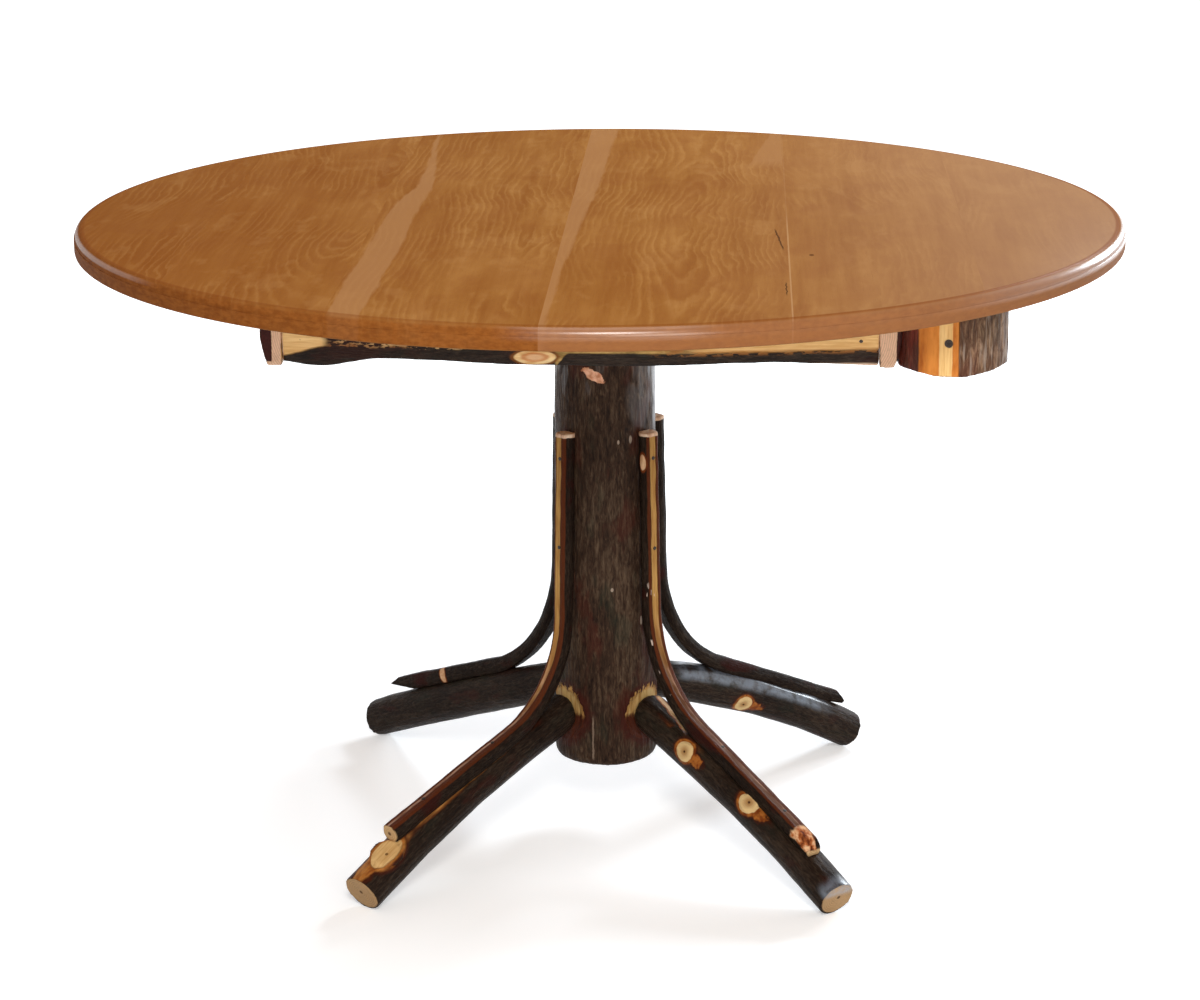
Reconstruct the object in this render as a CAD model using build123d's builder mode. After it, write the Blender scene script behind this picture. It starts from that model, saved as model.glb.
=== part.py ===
from build123d import *
from dataclasses import dataclass
from math import atan2, cos, degrees, hypot, radians, sin, sqrt
import os

# A rustic round pedestal table in hickory: a glued-up board top, an apron of half-log slabs, a bark-on
# trunk, four bark-on pole legs tenoned into it, and four bent strips that brace the legs to the trunk.
# Millimetres, +Z up, floor at Z = 0, axis of the round top on the Z axis, front of the table towards -Y.

# ---------------------------------------------------------------------------------------------------
# Driving sizes
# ---------------------------------------------------------------------------------------------------
joint_gap = 0.2  # air left between pieces that meet
hole_clearance = 0.15  # radial room round every shank, pin and tenon

# Round top of six boards, seams along Y
table_height = 749.3
top_diameter = 1219.2
top_thickness = 25.4
top_edge_round = 8.0  # quarter round on the upper edge, in three facets
top_edge_step = 1.2  # small shelf under the quarter round
top_edge_ease = 2.5  # chamfer on the lower edge
seam_positions = (-450.0, -258.0, -36.0, 217.0, 420.0)

# Apron: four half-log slabs, flat side in, bark side out, natural lower edge
apron_inside_x = 645.0
apron_inside_y = 642.0
apron_offset_x = -7.5  # the frame sits a little left of the middle
apron_drop = 82.0  # deepest that a slab could reach
apron_wood = 14.0  # thickness at the upper and lower edge
apron_bulge = 24.0  # thickness at mid depth, over the bark
corner_block_side = 40.0
corner_block_height = 60.0

# Battens and plate under the top
batten_width = 60.0
batten_thickness = 22.0
batten_spacing = 300.0
plate_side = 300.0
plate_thickness = 22.0
plate_corner = 20.0
board_chamfer = 3.0

# Trunk
trunk_x = 5.0
trunk_base_height = 80.0
trunk_top_radius = 57.0
trunk_middle_radius = 60.4
trunk_middle_height = 527.0
trunk_base_radius = 62.5
trunk_base_round = 11.0  # in two facets
trunk_top_chamfer = 2.0

# Legs: poles bowed upwards, tenoned into recesses in the trunk
leg_shoulder = 58.5  # from the trunk's axis to the shoulder of each leg
leg_shoulder_round = 10.0  # in two facets
leg_sole_depth = 1.5  # sawn off flat at the floor
tenon_radius = 13.0
tenon_length = 29.0
tenon_chamfer = 1.5
knot_rise = 1.2  # how far a sawn-off branch stub stands out of the pole
knot_root = 3.0
knot_flare = 4.0
recess_margin = 4.0  # the recess is this much wider than the leg
pin_radius = 5.0
pin_inset = 43.0  # pins stand this far from the trunk's axis
pin_rise = 100.0
pin_recess = 1.5

# Braces: saplings with an outer and an inner flat, bent over and nailed
brace_radius = 10.8
brace_outer_flat = 9.2  # from the centre line
brace_inner_flat = 8.2
brace_top_height = 496.0
brace_lean = 8.0  # how far the straight part leaves the trunk at its foot
brace_first_touch = 0.47  # share of the leg's reach where the brace meets the leg
brace_seat_margin = 3.0  # the flat planed on the leg is this much wider than the brace on each side
trunk_seat_depth = 0.5

# Half-log block at the right end of the front
block_radius = 57.0
block_x = 398.0
block_y = -322.0
block_turn = -12.0
block_drop = 87.0
block_shave = 3.4
cleat_length = 84.0
cleat_width = 40.0
cleat_height = 58.0

# Fasteners
screw_shank = 2.2
screw_head = 4.6
lag_shank = 4.0
lag_head = 7.5
lag_head_height = 5.5
lag_length = 85.0
lag_circle = 32.0
nail_shank = 1.4
nail_head = 2.9
nail_head_thickness = 1.2
fastener_sides = 6  # shanks and heads are drawn as prisms

# Logs and poles are drawn with flat sides, which keeps the solids light under their bark
trunk_sides = 24
leg_sides = 16
knot_sides = 10
brace_sides = 8
screw_bite = 16.0  # how far screws enter the top
nail_bite = 22.0  # how far nails enter the piece behind


@dataclass
class Leg:
    name: str
    azimuth: float  # degrees, from +X
    offset: float  # how far the leg's upright plane passes beside the trunk's axis
    reach: float  # along that plane, trunk axis to the middle of the sawn end
    root_height: float
    bow: float  # rise of the middle above the straight line
    root_radius: float
    end_radius: float
    brace_azimuth: float  # where its brace stands on the trunk
    brace_reach: float  # trunk axis to the outer end of the brace
    brace_bend: float  # radius of the centre line
    brace_sink: float  # depth of the seat planed on the leg near the bend; less than nothing leaves air
    brace_rise: float  # how far the outer end has sprung up off the leg
    brace_tip: float  # length whittled away at the tip
    knots: tuple = ()  # (share of the length, degrees round from the top, radius)


legs = (
    Leg("front_left", -127.6, -18.0, 415.0, 143.0, 12.0, 25.0, 23.6, -131.0, 366.0, 135.0, 3.0, 6.5, 0.0,
        ((0.87, 18.0, 17.0),)),
    Leg("front_right", -51.6, 18.0, 419.0, 143.0, 11.0, 24.5, 23.0, -39.5, 378.0, 145.0, -2.0, 0.0, 6.0,
        ((0.20, -62.0, 11.0), (0.49, -48.0, 13.0))),
    Leg("back_right", 40.4, 0.0, 398.0, 161.0, 13.0, 24.5, 22.6, 32.0, 384.0, 165.0, -4.0, 10.0, 12.0,
        ((0.47, -118.0, 11.0),)),
    Leg("back_left", 137.9, 0.0, 420.0, 160.0, 2.0, 23.5, 22.8, 141.0, 386.0, 175.0, -7.0, 11.0, 12.0),
)

underside = table_height - top_thickness
batten_bottom = underside - batten_thickness
plate_bottom = batten_bottom - plate_thickness
trunk_top_height = plate_bottom


def save(part, name):
    part.label = name
    export_step(part, f"parts/{name}.step")


# ---------------------------------------------------------------------------------------------------
# Fasteners: each is drawn with the top of its head at the origin and its point towards -Z. Drawn larger
# by the clearance, the same shape cuts the hole in every piece that the fastener passes or enters.
# ---------------------------------------------------------------------------------------------------
def flat_head_screw(length, clearance=0.0):
    with BuildPart() as screw:
        with BuildSketch():
            RegularPolygon(screw_head + clearance, fastener_sides, major_radius=False)
        extrude(amount=screw_shank - screw_head, taper=45)
        with BuildSketch(Plane.XY.offset(screw_shank - screw_head)):
            RegularPolygon(screw_shank + clearance, fastener_sides, major_radius=False)
        extrude(amount=screw_head - screw_shank - length - clearance)
    return screw.part


def nail(length, clearance=0.0):
    with BuildPart() as body:
        with BuildSketch():
            RegularPolygon(nail_head + clearance, fastener_sides)
        extrude(amount=-nail_head_thickness - clearance)
        with BuildSketch(Plane.XY.offset(-nail_head_thickness)):
            RegularPolygon(nail_shank + clearance, fastener_sides)
        extrude(amount=nail_head_thickness - length - clearance)
    return body.part


def lag_screw(length, clearance=0.0):
    with BuildPart() as lag:
        with BuildSketch():
            RegularPolygon(lag_head + clearance, 6)
        extrude(amount=-lag_head_height)
        with BuildSketch(Plane.XY.offset(-lag_head_height)):
            RegularPolygon(lag_shank + clearance, fastener_sides)
        extrude(amount=-length - clearance)
    return lag.part


def tenon_pin(length, clearance=0.0):
    with BuildPart() as pin:
        with BuildSketch():
            RegularPolygon(pin_radius + clearance, fastener_sides)
        extrude(amount=-length - clearance)
    return pin.part


def fastener_group(fastener, size, places, name):
    with BuildPart() as group:
        with Locations(*places):
            add(fastener(size))
    save(group.part, name)


def bore(fastener, size, places):
    """Holes for fasteners, in the part being built."""
    with Locations(*places):
        add(fastener(size, hole_clearance), mode=Mode.SUBTRACT)


# ---------------------------------------------------------------------------------------------------
# Places of the fasteners under the top
# ---------------------------------------------------------------------------------------------------
batten_length = apron_inside_x - 2 * joint_gap
batten_rows = (-batten_spacing / 2, batten_spacing / 2)
batten_screw_x = [(left + right) / 2 for left, right in zip(seam_positions, seam_positions[1:])]
batten_screw_x[0] = seam_positions[1] - batten_width / 2
batten_screw_x[-1] = seam_positions[-2] + batten_width / 2
batten_screws = [Plane((x, y, batten_bottom), z_dir=(0, 0, -1)) for y in batten_rows for x in batten_screw_x]

batten_screw_length = batten_thickness + screw_bite
plate_screw_length = plate_thickness + screw_bite - 2.0
corner_screw_length = corner_block_height + screw_bite
cleat_screw_length = cleat_height + screw_bite
apron_nail_length = apron_bulge + nail_bite - 2.0
plate_screw_inset = plate_side / 2 - 14.0
plate_screws = [
    Plane((trunk_x + x, side * plate_screw_inset, plate_bottom), z_dir=(0, 0, -1))
    for side in (-1, 1) for x in (-plate_side / 3, 0, plate_side / 3)
]
lag_places = [
    Plane((trunk_x + lag_circle * cos(radians(turn)), lag_circle * sin(radians(turn)),
           batten_bottom + lag_head_height), z_dir=(0, 0, 1))
    for turn in (0, 90, 180, 270)
]


# ---------------------------------------------------------------------------------------------------
# Round top
# ---------------------------------------------------------------------------------------------------
def round_top():
    """The whole disc, turned from the profile of its edge."""
    rim = top_diameter / 2
    quarter_round = [
        (rim - top_edge_step - top_edge_round * (1 - cos(radians(turn))),
         table_height - top_edge_round * (1 - sin(radians(turn))))
        for turn in (0, 30, 60, 90)
    ]
    with BuildPart() as disc:
        with BuildSketch(Plane.XZ):
            with BuildLine():
                Polyline((0, underside), (rim - top_edge_ease, underside), (rim, underside + top_edge_ease),
                         (rim, table_height - top_edge_round), *quarter_round, (0, table_height),
                         (0, underside))
            make_face()
        revolve(axis=Axis.Z)
    return disc.part


def top_boards():
    """Six boards with their edges glued, cut from one disc so that the rim runs through."""
    disc = round_top()
    edges = (-top_diameter / 2 - 1.0, *seam_positions, top_diameter / 2 + 1.0)
    for number, (left, right) in enumerate(zip(edges, edges[1:]), start=1):
        with BuildPart() as board:
            add(disc)
            with BuildSketch(Plane.XY.offset(underside)):
                with Locations(((left + right) / 2, 0)):
                    Rectangle(right - left, top_diameter + 2.0)
            extrude(amount=top_thickness, mode=Mode.INTERSECT)
            for length, places in top_screws:
                inside = [place for place in places if left < place.origin.X < right]
                if inside:
                    bore(flat_head_screw, length, inside)
        save(board.part, f"top_board_{number}")


# ---------------------------------------------------------------------------------------------------
# Apron
# ---------------------------------------------------------------------------------------------------
# Natural lower edges: (along the board from its middle, depth below the top)
front_edge = ((-324, 74), (-300, 78), (-276, 79.5), (-258, 77), (-238, 73), (-174, 72.5), (-133, 74.5),
              (-92, 77.5), (-36, 78.5), (79, 79), (143, 76), (234, 73.5), (282, 75.5), (324, 77.5))
back_edge = ((-324, 76), (-250, 73), (-160, 77), (-60, 79), (70, 75), (190, 73), (270, 77), (324, 78))
left_edge = ((-346, 77), (-260, 74), (-140, 78), (0, 79), (120, 74), (230, 76), (346, 78))
right_edge = ((-346, 78), (-240, 76), (-110, 73), (40, 77), (170, 79), (280, 75), (346, 77))


def slab_face(x, y, out_x, out_y):
    """Inner face of a slab: local X runs along it, local Y up, local Z out through the bark."""
    return Plane((x, y, underside - joint_gap), x_dir=(-out_y, out_x, 0), z_dir=(out_x, out_y, 0))


half_x = apron_inside_x / 2
half_y = apron_inside_y / 2
front_face = slab_face(apron_offset_x, -half_y, 0, -1)
back_face = slab_face(apron_offset_x, half_y, 0, 1)
left_face = slab_face(apron_offset_x - half_x, 0, -1, 0)
right_face = slab_face(apron_offset_x + half_x, 0, 1, 0)

slab_nail_depth = 48.0  # below the underside of the top, in the front and back slabs
side_nail_depth = 34.0
slab_nail_inset = corner_block_side / 2


def slab_nails(face, reach, depth):
    """Nails driven through a slab into the corner blocks, seen from outside the bark."""
    places = []
    for side in (-1, 1):
        seat = face.origin + face.x_dir * (side * reach) - Vector(0, 0, depth)
        places.append(Plane(seat + face.z_dir * (apron_bulge - 0.4), x_dir=face.x_dir, z_dir=face.z_dir))
    return places


front_nails = slab_nails(front_face, half_x - slab_nail_inset, slab_nail_depth)
back_nails = slab_nails(back_face, half_x - slab_nail_inset, slab_nail_depth)
left_nails = slab_nails(left_face, half_y - slab_nail_inset, side_nail_depth)
right_nails = slab_nails(right_face, half_y - slab_nail_inset, side_nail_depth)
apron_nails = front_nails + back_nails + left_nails + right_nails


def slab(face, length, natural_edge, nails, name):
    """A half-log board: a domed section run along the board, trimmed to its natural lower edge."""
    start = face.origin - face.x_dir * (length / 2)
    with BuildPart() as board:
        with BuildSketch(Plane(start, x_dir=face.z_dir, z_dir=face.x_dir)):
            with BuildLine():
                Polyline((apron_wood, 0), (0, 0), (0, apron_drop), (apron_wood, apron_drop))
                ThreePointArc((apron_wood, apron_drop), (apron_bulge, apron_drop / 2), (apron_wood, 0))
            make_face()
        extrude(amount=length)
        scale = length / (natural_edge[-1][0] - natural_edge[0][0] - 2.0)
        edge = [(along * scale, -depth) for along, depth in natural_edge]
        with BuildSketch(face):
            with BuildLine():
                Spline(*edge)
                Polyline(edge[-1], (edge[-1][0], 0), (edge[0][0], 0), edge[0])
            make_face()
        extrude(amount=apron_bulge, mode=Mode.INTERSECT)
        bore(nail, apron_nail_length, nails)
    save(board.part, name)


def apron():
    side_length = apron_inside_y + 2 * apron_bulge
    slab(front_face, apron_inside_x - 2 * joint_gap, front_edge, front_nails, "apron_front")
    slab(back_face, apron_inside_x - 2 * joint_gap, back_edge, back_nails, "apron_back")
    slab(left_face, side_length, left_edge, left_nails, "apron_left")
    slab(right_face, side_length, right_edge, right_nails, "apron_right")


def corner_place(side_x, side_y):
    inset = corner_block_side / 2 + joint_gap
    return Vector(apron_offset_x + side_x * (half_x - inset), side_y * (half_y - inset))


corners = {"front_left": (-1, -1), "front_right": (1, -1), "back_right": (1, 1), "back_left": (-1, 1)}
corner_screw_head = underside - joint_gap - corner_block_height
corner_screws = [
    Plane((corner_place(*signs).X - signs[0] * 8.0, corner_place(*signs).Y - signs[1] * 8.0,
           corner_screw_head), z_dir=(0, 0, -1))
    for signs in corners.values()
]


def corner_blocks():
    """Glue blocks in the four corners, with their free vertical edge cut off at 45 degrees."""
    for (name, signs), screw in zip(corners.items(), corner_screws):
        centre = corner_place(*signs)
        with BuildPart() as block:
            with BuildSketch(Plane.XY.offset(corner_screw_head)):
                with Locations((centre.X, centre.Y)):
                    Rectangle(corner_block_side, corner_block_side)
            extrude(amount=corner_block_height)
            inner = block.edges().filter_by(Axis.Z).sort_by_distance((apron_offset_x, 0, underside))[0]
            chamfer(inner, corner_block_side / 3)
            bore(flat_head_screw, corner_screw_length, [screw])
            bore(nail, apron_nail_length, [place for place in apron_nails
                                           if (place.origin - centre).dot(centre) > 0])
        save(block.part, f"corner_block_{name}")


# ---------------------------------------------------------------------------------------------------
# Battens and plate
# ---------------------------------------------------------------------------------------------------
def battens():
    for row, name in zip(batten_rows, ("front", "back")):
        with BuildPart() as batten:
            with BuildSketch(Plane.XY.offset(batten_bottom)):
                with Locations((apron_offset_x, row)):
                    Rectangle(batten_length, batten_width)
            extrude(amount=batten_thickness - joint_gap)
            chamfer(batten.faces().sort_by(Axis.Z)[0].edges(), board_chamfer)
            bore(flat_head_screw, batten_screw_length,
                 [place for place in batten_screws if place.origin.Y == row])
            bore(flat_head_screw, plate_screw_length,
                 [place for place in plate_screws if place.origin.Y * row > 0])
        save(batten.part, f"batten_{name}")


def top_plate():
    """Square plate that carries the battens on the trunk."""
    with BuildPart() as plate:
        with BuildSketch(Plane.XY.offset(plate_bottom)):
            with Locations((trunk_x, 0)):
                Rectangle(plate_side, plate_side)
        extrude(amount=plate_thickness - joint_gap)
        chamfer(plate.edges().filter_by(Axis.Z), plate_corner)
        chamfer(plate.faces().sort_by(Axis.Z)[0].edges(), board_chamfer)
        bore(flat_head_screw, plate_screw_length, plate_screws)
        bore(lag_screw, lag_length, lag_places)
    save(plate.part, "top_plate")


# ---------------------------------------------------------------------------------------------------
# Legs and braces: both are drawn in upright planes that stand on the trunk's axis
# ---------------------------------------------------------------------------------------------------
def upright_plane(x, y, azimuth, offset=0.0):
    """Upright plane: local X runs outwards along the azimuth, local Y is up."""
    out = Vector(cos(radians(azimuth)), sin(radians(azimuth)))
    return Plane((x - out.Y * offset, y + out.X * offset, 0), x_dir=out, z_dir=(out.Y, -out.X, 0))


class LegShape:
    """Centre line of one leg, an arc in its upright plane."""

    def __init__(self, leg):
        self.leg = leg
        self.plane = upright_plane(trunk_x, 0, leg.azimuth, leg.offset)
        run = leg.reach - leg_shoulder
        end_height = leg.end_radius
        for _ in range(3):  # the end stands on the lower edge of its sawn face
            fall = leg.root_height - end_height
            chord = hypot(run, fall)
            half_turn = 2 * atan2(2 * leg.bow, chord)
            end_slope = atan2(fall, run) + half_turn
            end_height = leg.end_radius * cos(end_slope) - leg_sole_depth
        self.root = Vector(leg_shoulder, leg.root_height)
        self.end = Vector(leg.reach, end_height)
        across = Vector(fall, run).normalized()
        middle = (self.root + self.end) * 0.5 + across * leg.bow
        with BuildLine(self.plane) as axis:
            ThreePointArc((self.root.X, self.root.Y), (middle.X, middle.Y), (self.end.X, self.end.Y))
        self.axis = axis.line

    def radius(self, share):
        """The pole is thickest at its root, and a little waisted two thirds out."""
        leg = self.leg
        return leg.root_radius + (leg.end_radius - leg.root_radius) * sin(share * 1.5707963)

    def section(self, share):
        """Plane square to the centre line, with local Y up."""
        along = self.axis % share
        return Plane(self.axis @ share, x_dir=self.plane.z_dir * -1, z_dir=along)

    def root_section(self):
        """Upright plane of the shoulder, facing out of the trunk."""
        return Plane(self.axis @ 0, x_dir=self.plane.z_dir * -1, z_dir=self.plane.x_dir)

    def top_point(self, reach):
        """Distance out and height of the ridge of the leg above a point `reach` from the trunk."""
        share = (reach - leg_shoulder) / (self.leg.reach - leg_shoulder)
        ridge = self.axis @ share + self.section(share).y_dir * self.radius(share)
        local = self.plane.to_local_coords(ridge)
        return Vector(local.X, local.Y)


class BraceShape:
    """Centre line of one brace: down the trunk, round the bend and out along the leg."""

    def __init__(self, leg, leg_shape):
        self.leg = leg
        stand = trunk_middle_radius - trunk_seat_depth + joint_gap + brace_inner_flat
        turn = radians(leg.brace_azimuth)
        trunk_centre = Vector(trunk_x, 0)
        head = trunk_centre + Vector(cos(turn), sin(turn)) * stand
        tail = leg_shape.plane.origin + leg_shape.plane.x_dir * leg.brace_reach
        run = tail - head
        out = run.normalized()
        self.azimuth = degrees(atan2(run.Y, run.X))
        self.offset = (head - trunk_centre).dot(Vector(-out.Y, out.X))
        self.plane = upright_plane(trunk_x, 0, self.azimuth, self.offset)
        head_x = (head - trunk_centre).dot(out)
        near = leg_shape.top_point(leg.reach * brace_first_touch)
        far = leg_shape.top_point(leg.brace_reach)
        tail_x = head_x + run.length
        near_x = tail_x - (leg.brace_reach - leg.reach * brace_first_touch)
        slope = (far.Y + leg.brace_rise + leg.brace_sink - near.Y) / (tail_x - near_x)
        lift = (brace_inner_flat + joint_gap) * sqrt(1 + slope * slope) - leg.brace_sink
        foot_x = head_x + brace_lean
        self.foot = Vector(foot_x, near.Y + slope * (foot_x - near_x) + lift)
        self.head = Vector(head_x, brace_top_height)
        self.tail = Vector(tail_x, near.Y + slope * (tail_x - near_x) + lift)
        self.slope = slope

    def centre_line(self):
        corners = [(point.X, point.Y) for point in (self.head, self.foot, self.tail)]
        with BuildLine(self.plane) as line:
            FilletPolyline(*corners, radius=self.leg.brace_bend)
        return line.line


def nail_place(path, share, plane, lift):
    """Head of a nail on the outer flat, at a share of the centre line."""
    along = path % share
    out = plane.z_dir.cross(along)
    return Plane(path @ share + out * lift, x_dir=plane.z_dir, z_dir=out)


leg_shapes = [LegShape(leg) for leg in legs]
brace_shapes = [BraceShape(leg, shape) for leg, shape in zip(legs, leg_shapes)]
brace_paths = [shape.centre_line() for shape in brace_shapes]
brace_nail_shares = (0.05, 0.23, 0.70, 0.90)
brace_nail_places = [
    [nail_place(path, share, shape.plane, brace_outer_flat + 0.2) for share in brace_nail_shares]
    for path, shape in zip(brace_paths, brace_shapes)
]
brace_nail_length = brace_outer_flat + brace_inner_flat + nail_bite
pin_places = []
for leg in legs:
    seat = upright_plane(trunk_x, 0, leg.azimuth, leg.offset)
    pin_places.append(Plane(seat.origin + seat.x_dir * pin_inset
                            + Vector(0, 0, trunk_base_height + pin_recess), z_dir=(0, 0, -1)))


def knot_pads(shape):
    """Low sawn-off branch stubs on a leg."""
    for share, turn, radius in shape.leg.knots:
        section = shape.section(share)
        out = section.y_dir * cos(radians(turn)) + section.x_dir * sin(radians(turn))
        seat = section.origin + out * (shape.radius(share) - knot_root)
        with BuildSketch(Plane(seat, x_dir=section.z_dir, z_dir=out)) as stub:
            RegularPolygon(radius + knot_flare, knot_sides, major_radius=False)
        extrude(stub.sketch, amount=knot_root + knot_rise,
                taper=degrees(atan2(knot_flare, knot_root + knot_rise)))


def leg_parts():
    for leg, shape, brace, path, nails, pin in zip(legs, leg_shapes, brace_shapes, brace_paths,
                                                   brace_nail_places, pin_places):
        with BuildPart() as pole:
            for turn in (0, 45, 90):
                with BuildSketch(shape.root_section().offset(leg_shoulder_round * (1 - cos(radians(turn))))):
                    RegularPolygon(leg.root_radius - leg_shoulder_round * (1 - sin(radians(turn))), leg_sides)
            for share in (0.25, 0.5, 0.75, 1.0):
                with BuildSketch(shape.section(share)):
                    RegularPolygon(shape.radius(share), leg_sides)
            loft(ruled=True)
            knot_pads(shape)
            with BuildSketch(shape.root_section()):
                Circle(tenon_radius)
            extrude(amount=-tenon_length)
            tenon_end = shape.axis @ 0 - shape.plane.x_dir * tenon_length
            chamfer(pole.faces().sort_by_distance(tenon_end)[0].edges(), tenon_chamfer)
            with BuildSketch(Plane.XY):
                with Locations((trunk_x, 0)):
                    Circle(2 * leg.reach)
            extrude(amount=-2 * leg.end_radius, mode=Mode.SUBTRACT)
            brace_seat(brace, leg)
            bore(nail, brace_nail_length, nails[2:])
            bore(tenon_pin, pin_rise, [pin])
        save(pole.part, f"leg_{leg.name}")


def brace_seat(brace, leg):
    """Flat planed along the top of a leg, just under the inner flat of its brace."""
    drop = (brace_inner_flat + joint_gap) * sqrt(1 + brace.slope ** 2)
    room = 3 * brace_radius
    start = Vector(brace.foot.X, brace.foot.Y - drop)
    end = Vector(brace.tail.X + 2.0, brace.tail.Y + 2.0 * brace.slope - drop)
    with BuildSketch(brace.plane) as seat:
        with BuildLine():
            Polyline(start, end, end + Vector(0, room), start + Vector(0, room), close=True)
        make_face()
    extrude(seat.sketch, amount=brace_radius + brace_seat_margin, both=True, mode=Mode.SUBTRACT)


def brace_parts():
    for leg, shape, path, nails in zip(legs, brace_shapes, brace_paths, brace_nail_places):
        with BuildPart() as brace:
            start = Plane(path @ 0, x_dir=shape.plane.z_dir, z_dir=path % 0)
            with BuildSketch(start):
                RegularPolygon(brace_radius, brace_sides, major_radius=False)
                with Locations((0, (brace_inner_flat - brace_outer_flat) / 2)):
                    Rectangle(2 * brace_radius, brace_inner_flat + brace_outer_flat,
                              mode=Mode.INTERSECT)
            sweep(path=path)
            if leg.brace_tip:
                whittle(shape, leg.brace_tip)
            bore(nail, brace_nail_length, nails)
        save(brace.part, f"brace_{leg.name}")


def whittle(shape, length):
    """Slanting cut that thins the tip of a brace from above."""
    thick = brace_outer_flat + brace_inner_flat
    steep = shape.slope - thick / length * 0.8
    start = shape.tail + Vector(-length, -length * shape.slope + brace_outer_flat)
    end = start + Vector(2 * length, 2 * length * steep)
    with BuildSketch(shape.plane) as waste:
        with BuildLine():
            Polyline(start, end, end + Vector(0, 6 * thick + 2 * length), start + Vector(0, 2 * thick),
                     close=True)
        make_face()
    extrude(waste.sketch, amount=2 * brace_radius, both=True, mode=Mode.SUBTRACT)


# ---------------------------------------------------------------------------------------------------
# Trunk
# ---------------------------------------------------------------------------------------------------
trunk_stations = [
    (trunk_base_radius - trunk_base_round * (1 - sin(radians(turn))),
     trunk_base_height + trunk_base_round * (1 - cos(radians(turn))))
    for turn in (0, 45, 90)
] + [
    (trunk_middle_radius, trunk_middle_height),
    (trunk_top_radius, trunk_top_height - trunk_top_chamfer),
    (trunk_top_radius - trunk_top_chamfer, trunk_top_height),
]


def trunk_part():
    with BuildPart() as trunk:
        for (low_radius, low), (high_radius, high) in zip(trunk_stations, trunk_stations[1:]):
            with BuildSketch(Plane.XY.offset(low)):
                with Locations((trunk_x, 0)):
                    RegularPolygon(low_radius, trunk_sides)
            narrowing = (low_radius - high_radius) * cos(radians(180 / trunk_sides))
            extrude(amount=high - low, taper=degrees(atan2(narrowing, high - low)))
        for shape in leg_shapes:
            with Locations(shape.root_section().offset(-joint_gap)):
                Cylinder(shape.leg.root_radius + recess_margin, leg_shoulder,
                         align=(Align.CENTER, Align.CENTER, Align.MIN), mode=Mode.SUBTRACT)
                Cylinder(tenon_radius + hole_clearance, tenon_length,
                         align=(Align.CENTER, Align.CENTER, Align.MAX), mode=Mode.SUBTRACT)
        for shape in brace_shapes:
            trunk_seat(shape)
        for nails in brace_nail_places:
            bore(nail, brace_nail_length, nails[:2])
        bore(tenon_pin, pin_rise, pin_places)
        bore(lag_screw, lag_length, lag_places)
    save(trunk.part, "trunk")


def trunk_seat(shape):
    """Narrow flat on the trunk behind the straight part of a brace."""
    back = Vector(-brace_inner_flat - joint_gap, 1.0)
    room = Vector(2 * brace_radius, 0)
    with BuildSketch(shape.plane) as seat:
        with BuildLine():
            Polyline(shape.head + back, shape.foot + back, shape.foot + back + room,
                     shape.head + back + room, close=True)
        make_face()
    extrude(seat.sketch, amount=brace_radius, both=True, mode=Mode.SUBTRACT)


# ---------------------------------------------------------------------------------------------------
# Half-log block and its cleat
# ---------------------------------------------------------------------------------------------------
block_plane = Plane((block_x, block_y, underside - joint_gap - block_drop)).rotated((0, 0, block_turn))
block_screw = Plane(block_plane.origin + block_plane.y_dir * (block_shave - block_radius)
                    + Vector(0, 0, block_drop / 2), z_dir=block_plane.y_dir * -1)
block_screw_length = block_radius - block_shave + cleat_width * 0.7
cleat_screws = [
    Plane(block_plane.origin + block_plane.x_dir * (side * cleat_length / 4)
          + block_plane.y_dir * (cleat_width / 2) + Vector(0, 0, block_drop - cleat_height),
          z_dir=(0, 0, -1))
    for side in (-1, 1)
]


def log_block():
    """Upright half log, bark outwards, its ridge shaved to a flat for the screw."""
    with BuildPart() as block:
        with BuildSketch(block_plane):
            Circle(block_radius)
            Rectangle(2 * block_radius, block_radius, align=(Align.CENTER, Align.MAX),
                      mode=Mode.INTERSECT)
            with Locations((0, block_shave - block_radius)):
                Rectangle(2 * block_radius, block_shave, align=(Align.CENTER, Align.MAX),
                          mode=Mode.SUBTRACT)
        extrude(amount=block_drop)
        chamfer(block.faces().sort_by(Axis.Z)[0].edges().sort_by(Axis.Y)[:-1], board_chamfer / 2)
        bore(flat_head_screw, block_screw_length, [block_screw])
    save(block.part, "log_block")


def log_block_cleat():
    with BuildPart() as cleat:
        with BuildSketch(block_plane.offset(block_drop - cleat_height)):
            with Locations((0, joint_gap)):
                Rectangle(cleat_length, cleat_width, align=(Align.CENTER, Align.MIN))
        extrude(amount=cleat_height)
        chamfer(cleat.faces().sort_by(Axis.Z)[0].edges(), board_chamfer)
        bore(flat_head_screw, block_screw_length, [block_screw])
        bore(flat_head_screw, cleat_screw_length, cleat_screws)
    save(cleat.part, "log_block_cleat")


# ---------------------------------------------------------------------------------------------------
# Build and write every piece
# ---------------------------------------------------------------------------------------------------
top_screws = (
    (batten_screw_length, batten_screws),
    (corner_screw_length, corner_screws),
    (cleat_screw_length, cleat_screws),
)


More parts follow.
